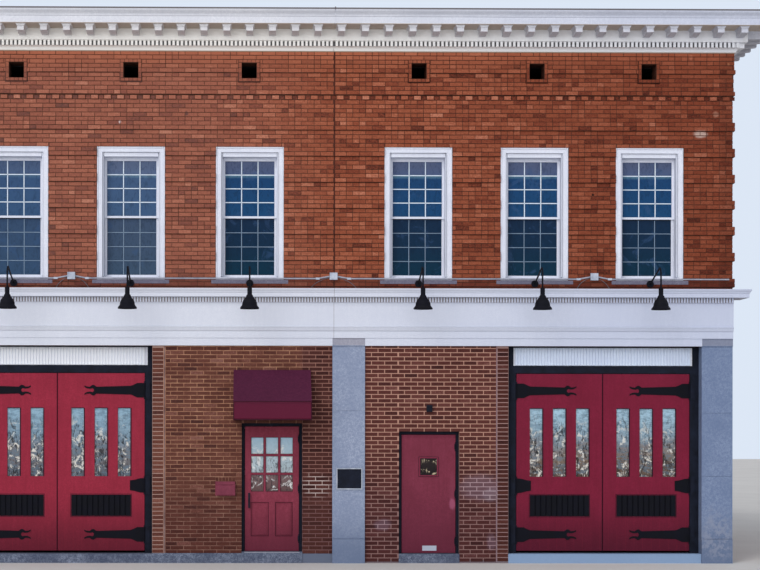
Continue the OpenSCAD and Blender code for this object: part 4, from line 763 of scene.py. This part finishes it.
# The ground storey's zones: look, place, course, where the bond starts, bed and head joints, spread of tones
LEFT_BOND = (0.0655, -2.727, (0.0125, 0.010), 0.17)
DEEP_BOND = (0.0655, ENTRANCE[1], (0.0130, 0.010), 0.17)
RIGHT_BOND = (0.0676, MIDDLE_PIER[1], (0.0138, 0.014), 0.14)
ZONES = (("left", (QUOINS[0][1] + 0.036, ENTRANCE[0], 0.160), LEFT_BOND), ("left", ENTRANCE, LEFT_BOND),
         ("deep", (ENTRANCE[1], MIDDLE_PIER[0], 0.150), DEEP_BOND),
         ("right", (MIDDLE_PIER[1], EXIT[0], 0.0), RIGHT_BOND), ("right", EXIT, RIGHT_BOND),
         ("right", (EXIT[1], QUOINS[1][0] - 0.020, 0.0), RIGHT_BOND))
box_x0, box_x1, box_top = MAIL_BOX
ground = {"left": Heap(), "deep": Heap(), "right": Heap()}
for zone, (x0, x1, z0), (course, anchor, joints, spread) in ZONES:
    rects = brick_grid(x0, x1, z0, PIER_H, anchor, 0.016, course, GROUND_BRICK, *joints)
    rects = cut_out(rects, [(box_x0, box_x1, box_top + 0.003, box_top + 0.07)])
    tones = np.clip(rng.normal(0.55, spread, len(rects)), 0.05, 1.0)
    ground[zone].tiles(FRONT, rects, 0.0, PROUD, 0.002, tones)
# The upright bricks over the mail box
xs = np.arange(box_x0, box_x1 - 0.03, 0.0533)
ground["left"].tiles(FRONT, [(x + 0.003, x + 0.050, box_top + 0.007, box_top + 0.066) for x in xs],
                     0.0, PROUD, 0.002, 0.3 + 0.3 * rng.random(len(xs)))
for zone, heap in ground.items():
    heap.make("bricks_ground_" + zone, "brick_" + zone, slot="ground_brick")

# The stacked quoin strips beside the vehicle doorways, one brick wide, and their pale joints
quoins, caulk = Heap(), Heap()
for x0, x1 in QUOINS:
    rows = np.arange(0.030, PIER_H - 0.03, QUOIN_COURSE)
    rects = [(x0 + 0.004, x1 - 0.004, z, z + QUOIN_COURSE - 0.013) for z in rows]
    tones = np.clip(rng.normal(0.5, 0.16, len(rects)), 0.05, 1.0)
    quoins.tiles(FRONT, rects, 0.0, PROUD + 0.002, 0.003, tones)
caulk.tiles(FRONT, [(QUOINS[0][1] + 0.010, QUOINS[0][1] + 0.026, 0.16, PIER_H),
                    (QUOINS[1][0] - 0.017, QUOINS[1][0] - 0.003, 0.02, PIER_H)], 0.0, PROUD + 0.002, 0.002)
quoins.make("quoin_bricks", "brick_quoin", slot="ground_brick")
caulk.make("caulk_joints", "caulk", slot="ground_brick")

# Windows
# Each sash: foot and head of its glass above the window's foot, face and width of its bars
SASHES = (("upper", 1.049, WINDOW_H - 0.208, SASH_OUT - 0.006, 0.020),
          ("lower", 0.098, 1.015, SASH_OUT - 0.044, 0.016))
LIGHTS_ACROSS, LIGHTS_UP = 3, 4
GLASS_IN, CASING_W, BEAD_W, STOP_W = 0.150, 0.090, 0.014, 0.020
bars = {"upper": Heap(), "lower": Heap()}
beads, rail_gap_shade = Heap(), Heap()
for side in range(4):
    for x0, x1, z0, z1 in window_rects(side):
        gx0, gx1 = x0 + GLASS_IN, x1 - GLASS_IN
        across = (gx1 - gx0) / LIGHTS_ACROSS
        for part, foot, head, out, wide in SASHES:
            low, high = z0 + foot, z0 + head
            up = (high - low) / LIGHTS_UP
            rects = [(gx0 + k * across - wide / 2, gx0 + k * across + wide / 2, low, high)
                     for k in range(1, LIGHTS_ACROSS)]
            rects += [(gx0, gx1, low + k * up - wide / 2, low + k * up + wide / 2)
                      for k in range(1, LIGHTS_UP)]
            bars[part].tiles(side, rects, out - 0.018, out, 0.004)
        # Back band round the casing and a bead at its inner edge
        beads.tiles(side, arch_rects(x0, x1, z0, z1, 0.026, 0.026), CASING_OUT, CASING_OUT + 0.014, 0.004)
        i0, i1, top = x0 + CASING_W, x1 - CASING_W, z1 - CASING_W
        inner = [(i0 - BEAD_W, i0, z0 + 0.05, top), (i1, i1 + BEAD_W, z0 + 0.05, top),
                 (i0 - BEAD_W, i1 + BEAD_W, top, top + BEAD_W)]
        beads.tiles(side, inner, CASING_OUT, CASING_OUT + 0.006, 0.003)
        # Blind stops, sash stops, the edges of the upper glass, the sill's nosing, and painted shade as a
        # dark strip in the gap under the rail
        beads.tiles(side, arch_rects(i0, i1, z0 + 0.06, top, STOP_W, 0.070),
                    SASH_OUT, CASING_OUT - 0.030, 0.004)
        beads.tiles(side, arch_rects(i0, i1, z0 + 0.05, top, STOP_W, STOP_W),
                    SASH_OUT - 0.001, SASH_OUT + 0.018, 0.003)
        beads.tiles(side, [(gx0 - 0.008, gx0, z0 + 1.05, z1 - 0.2), (gx1, gx1 + 0.008, z0 + 1.05, z1 - 0.2)],
                    SASH_OUT - 0.001, SASH_OUT + 0.003, 0.002)
        beads.tiles(side, [(x0 + 0.05, x1 - 0.05, z0 + 0.001, z0 + 0.022)],
                    CASING_OUT, CASING_OUT + 0.018, 0.004)
        rail_gap_shade.tiles(side, [(gx0 - 0.02, gx1 + 0.02, z0 + 1.003, z0 + 1.015)],
                   SASH_OUT - 0.070, SASH_OUT - 0.041, 0.001)
bars["upper"].make("sash_bars_upper", "bars_upper", slot="white_wood")
bars["lower"].make("sash_bars_lower", "bars_lower", slot="white_wood")
rail_gap_shade.make("rail_shadows", "iron", slot="white_wood")
beads.make("casing_beads", "white_wood", slot="white_wood")

# Lines on the leaves, from just behind the faces of the vehicle leaves, the entrance and the exit door
LEAF_OUT, DOOR_OUT, EXIT_OUT = -0.181, -0.101, -0.099
EXIT_LIGHT = (1.550, 1.553)
lines = Heap()
# Painted shadow lines round the edges of the exit door's light and its trim
for half, width in ((0.138, 0.008), (0.162, 0.005)):
    rects = frame_rects(EXIT_LIGHT[0] - half, EXIT_LIGHT[0] + half,
                        EXIT_LIGHT[1] - half, EXIT_LIGHT[1] + half, width)
    lines.tiles(FRONT, rects, EXIT_OUT, EXIT_OUT + 0.0085, 0.001)
lines.make("exit_light_lines", "iron", "exit_door", "black_paint")

LEAF_LIGHT_W, LEAF_Z, PANEL_Z = 0.213, (0.192, 3.058), (0.732, 1.110)
MEETING_EDGES = {"a": -4.458, "c": 4.386}
for letter in "abcd":
    low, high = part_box("bay_glass_" + letter)
    x0, x1, z0, z1 = low[0], high[0], low[2], high[2]
    leaf = Heap()
    for k in range(3):
        right = x0 + LEAF_LIGHT_W + k * (x1 - x0 - LEAF_LIGHT_W) / 2
        # Painted shadow along the right and top edges of each light
        leaf.tiles(FRONT, [(right - 0.012, right + 0.008, z0, z1),
                           (right - LEAF_LIGHT_W, right - 0.012, z1 - 0.004, z1 + 0.008)],
                   LEAF_OUT, LEAF_OUT + 0.0015, 0.0005)
    # A dark line round the slat panel
    leaf.tiles(FRONT, frame_rects(x0 - 0.014, x1 + 0.014, *PANEL_Z, 0.009),
               LEAF_OUT, LEAF_OUT + 0.0025, 0.001)
    # Painted shade in the gap where the two leaves meet
    if letter in MEETING_EDGES:
        edge = MEETING_EDGES[letter]
        leaf.tiles(FRONT, [(edge - 0.012, edge, *LEAF_Z)], LEAF_OUT, LEAF_OUT + 0.0025, 0.001)
    leaf.make("leaf_lines_" + letter, "red_line", "vehicle_leaf_" + letter, "red_paint")

DOOR_LIGHT_W, DOOR_LIGHT_H = 0.197, 0.264
DOOR_PANELS, DOOR_PANEL_Z = ((-1.326, -1.035), (-0.934, -0.655)), (0.429, 0.979)
door = Heap()
low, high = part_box("entrance_glass")
for k in range(3):
    for j in range(3):
        x0 = low[0] + k * (high[0] - low[0] - DOOR_LIGHT_W) / 2
        z0 = low[2] + j * (high[2] - low[2] - DOOR_LIGHT_H) / 2
        rects = frame_rects(x0 - 0.004, x0 + DOOR_LIGHT_W + 0.004,
                            z0 - 0.004, z0 + DOOR_LIGHT_H + 0.004, 0.006)
        door.tiles(FRONT, rects, DOOR_OUT, DOOR_OUT + 0.0015, 0.0005)
for x0, x1 in DOOR_PANELS:
    door.tiles(FRONT, frame_rects(x0, x1, *DOOR_PANEL_Z, 0.007), DOOR_OUT, DOOR_OUT + 0.0025, 0.001)
door.make("entrance_lines", "red_line", "entrance_door", "red_paint")

# Small trims
AWNING_X, VALANCE_Z, AWNING_OUT = (-1.605, -0.365), (2.32, 2.59), 0.700
piping = Heap()
x0, x1 = AWNING_X
piping.tiles(FRONT, [(x0 + 0.005, x1 - 0.005, VALANCE_Z[1], VALANCE_Z[1] + 0.012),
                     (x0, x0 + 0.012, *VALANCE_Z), (x1 - 0.012, x1, *VALANCE_Z),
                     (x0, x1, VALANCE_Z[0] - 0.020, VALANCE_Z[0] + 0.002)],
             AWNING_OUT, AWNING_OUT + 0.006, 0.002)
piping.make("awning_piping", "red_line", slot="awning_skin")

# The plaque's edge, and the strip at the foot of the entrance
PLAQUE, THRESHOLD_Z = (0.050, 0.470, 1.188, 1.534), (0.168, 0.182)
edges = Heap()
edges.tiles(FRONT, frame_rects(*PLAQUE, 0.018), 0.056, 0.062, 0.001)
edges.tiles(FRONT, [(ENTRANCE[0] + 0.044, ENTRANCE[1] - 0.044, *THRESHOLD_Z)], 0.024, 0.027, 0.001)
edges.make("plaque_edge", "galvanised", slot="galvanised")

lid = Heap()
lid.tiles(FRONT, [(box_x0 + 0.004, box_x1 - 0.004, box_top - 0.053, box_top - 0.004),
                  (box_x0 + 0.017, box_x1 - 0.017, box_top - 0.215, box_top - 0.065)], 0.060, 0.068, 0.004)
lid.make("mail_box_lid", "red_box", slot="red_paint")

# Stepped collars on the lamp shades, as radii and levels
COLLAR = ((0.024, 4.372), (0.029, 4.300), (0.040, 4.264), (0.052, 4.252), (0.056, 4.232), (0.072, 4.214),
          (0.084, 4.190), (0.104, 4.160), (0.092, 4.150))
COLLAR_SIDES = 24
collars = Heap()
low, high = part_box("lamp_shades")
lamp_y = (low[1] + high[1]) / 2
turns = 2 * np.pi * np.arange(COLLAR_SIDES) / COLLAR_SIDES
for x in FRONT_WINDOWS:
    rings = [np.column_stack([x + r * np.cos(turns), lamp_y + r * np.sin(turns), np.full(COLLAR_SIDES, z)])
             for r, z in COLLAR]
    collars.add(np.concatenate(rings), [face[::-1] for face in ring_faces(len(COLLAR), COLLAR_SIDES)])
collars.make("lamp_collars", "dark_iron", slot="black_paint", smooth=True)

# Grey cables in pairs, each from beside its box over the lowest brick band and into the lower cornice
CABLE_R, CABLE_POINTS, CABLE_FROM = 0.005, 18, 0.05
CABLE_ENDS = ((0.0, 0.38), (4.19, 0.27), (-4.20, 0.27))
cables = Heap()
t = np.linspace(0.0, 1.0, CABLE_POINTS)[:, None]
for x, reach in CABLE_ENDS:
    run = reach - CABLE_FROM
    guide = np.asarray([(CABLE_FROM, 0.060, 4.598), (CABLE_FROM + 0.3 * run, 0.047, 4.580),
                        (CABLE_FROM + 0.8 * run, 0.043, 4.530), (reach, 0.050, 4.405)])
    path = ((1 - t) ** 3 * guide[0] + 3 * (1 - t) ** 2 * t * guide[1]
            + 3 * (1 - t) * t ** 2 * guide[2] + t ** 3 * guide[3])
    for way in (-1, 1):
        cable(cables, np.column_stack([x + way * path[:, 0], -HALF_D - path[:, 1], path[:, 2]]), CABLE_R)
cables.make("conduit_cables", "cable", slot="galvanised", smooth=True)

# Cornices
LOW_TOOTH_Z, LOW_TOOTH_PITCH = (4.197, 4.279), 0.0455
teeth = Heap()
teeth.tiles(FRONT, [(x - 0.014, x + 0.014, *LOW_TOOTH_Z) for x in spaced(HALF_W, LOW_TOOTH_PITCH)],
            0.114, 0.142, 0.002)
teeth.make("lower_dentils", "white_fascia", slot="white_wood")

TOOTH_Z, TOOTH_PITCH = (8.306, 8.386), 0.0687
sides = Heap()
for side in (RIGHT, REAR, LEFT):
    xs = spaced(HALF_RUN[side] + 0.115, TOOTH_PITCH)
    sides.tiles(side, [(x - 0.020, x + 0.020, *TOOTH_Z) for x in xs], 0.119, 0.168, 0.002)
sides.make("side_dentils", "white_metal", slot="white_paint")

# The lapped joint of the front cornice at the middle, a little behind its faces
LAP = [(0.0, 8.240), (0.070, 8.300), (0.115, 8.308), (0.115, 8.384), (0.195, 8.392), (0.195, 8.570),
       (0.614, 8.580), (0.614, 8.676), (0.640, 8.700), (0.655, 8.740), (0.680, 8.790), (0.694, 8.806),
       (0.690, 8.826), (0.0, 8.826)]
LAP_HALF = 0.0086
lap, n = Heap(), len(LAP)
lap.add(to_world(FRONT, np.asarray([(x, out, z) for x in (-LAP_HALF, LAP_HALF) for out, z in LAP])),
        [(i, (i + 1) % n, n + (i + 1) % n, n + i) for i in range(n)]
        + [tuple(range(n))[::-1], tuple(range(n, 2 * n))])
lap.make("cornice_lap", "white_metal", slot="white_paint")

# Boards of the white panels over the vehicle doors
BOARD, BOARD_Z, BOARD_OUT = 0.0487, (3.194, 3.484), -0.186
boards = Heap()
for x0, x1 in BAY_EDGES:
    left, right = x0 + 0.128, x1 - 0.128
    count = round((right - left) / BOARD)
    step = (right - left) / count
    boards.tiles(FRONT, [(left + k * step + 0.002, left + (k + 1) * step - 0.002, *BOARD_Z)
                         for k in range(count)], BOARD_OUT - 0.014, BOARD_OUT, 0.0055)
boards.make("transom_boards", "white_boards", slot="white_wood")

# Stage, light and camera
floor = bpy.data.meshes.new("stage_floor")
floor.from_pydata([(-90, -70, 0), (90, -70, 0), (90, 110, 0), (-90, 110, 0)], [], [(0, 1, 2, 3)])
pale_floor = Shader("stage_floor", 0.85)
floor.materials.append(pale_floor.base(pale_floor.ramp(
    pale_floor.noise(0.4, 3.0), (0.3, tint(222, 219, 214)), (0.7, tint(230, 227, 222)))))
stage = bpy.data.objects.new("stage_floor", floor)
bpy.context.scene.collection.objects.link(stage)

# The world lights softly; the camera and glossy rays see a paler sky
SKY, SKY_STRENGTH, PALE_SKY = (0.86, 0.90, 1.0, 1.0), 0.46, (0.72, 0.80, 0.92, 1.0)
world = bpy.data.worlds.new("studio")
world.use_nodes = True
bpy.context.scene.world = world
nodes, link = world.node_tree.nodes, world.node_tree.links.new
soft = nodes["Background"]
soft.inputs[0].default_value, soft.inputs[1].default_value = SKY, SKY_STRENGTH
pale, joined, rays, either = [nodes.new("ShaderNode" + kind)
                              for kind in ("Background", "MixShader", "LightPath", "Math")]
pale.inputs[0].default_value = PALE_SKY
either.operation = "MAXIMUM"
link(rays.outputs["Is Camera Ray"], either.inputs[0])
link(rays.outputs["Is Glossy Ray"], either.inputs[1])
link(either.outputs[0], joined.inputs[0])
link(soft.outputs[0], joined.inputs[1])
link(pale.outputs[0], joined.inputs[2])
link(joined.outputs[0], nodes["World Output"].inputs[0])


def sun(name, power, colour, turn, spread):
    """A distant lamp, turned and spread by degrees."""
    data = bpy.data.lights.new(name, "SUN")
    data.energy, data.color, data.angle = power, colour, math.radians(spread)
    light = bpy.data.objects.new(name, data)
    bpy.context.scene.collection.objects.link(light)
    light.rotation_euler = [math.radians(a) for a in turn]
    return light


sun("key", 0.70, (1.0, 0.98, 0.96), (48, 0, -28), 14)
sun("front_fill", 2.65, (0.98, 0.98, 1.0), (90, 0, -14), 60).visible_glossy = False

# The photograph's view: nearly level, from the left of the seam, with the frame shifted over the building
camera = bpy.data.cameras.new("camera")
camera.sensor_width, camera.lens = 36.0, 94.055
camera.shift_x, camera.shift_y = 0.1370, 0.1903
camera.clip_end = 300.0
eye = bpy.data.objects.new("camera", camera)
bpy.context.scene.collection.objects.link(eye)
eye.location = (-1.34, -38.0, 2.15)
eye.rotation_euler = [math.radians(a) for a in (90.0, -0.082, -0.7456)]
bpy.context.scene.camera = eye
bpy.context.scene.view_settings.view_transform = "Standard"
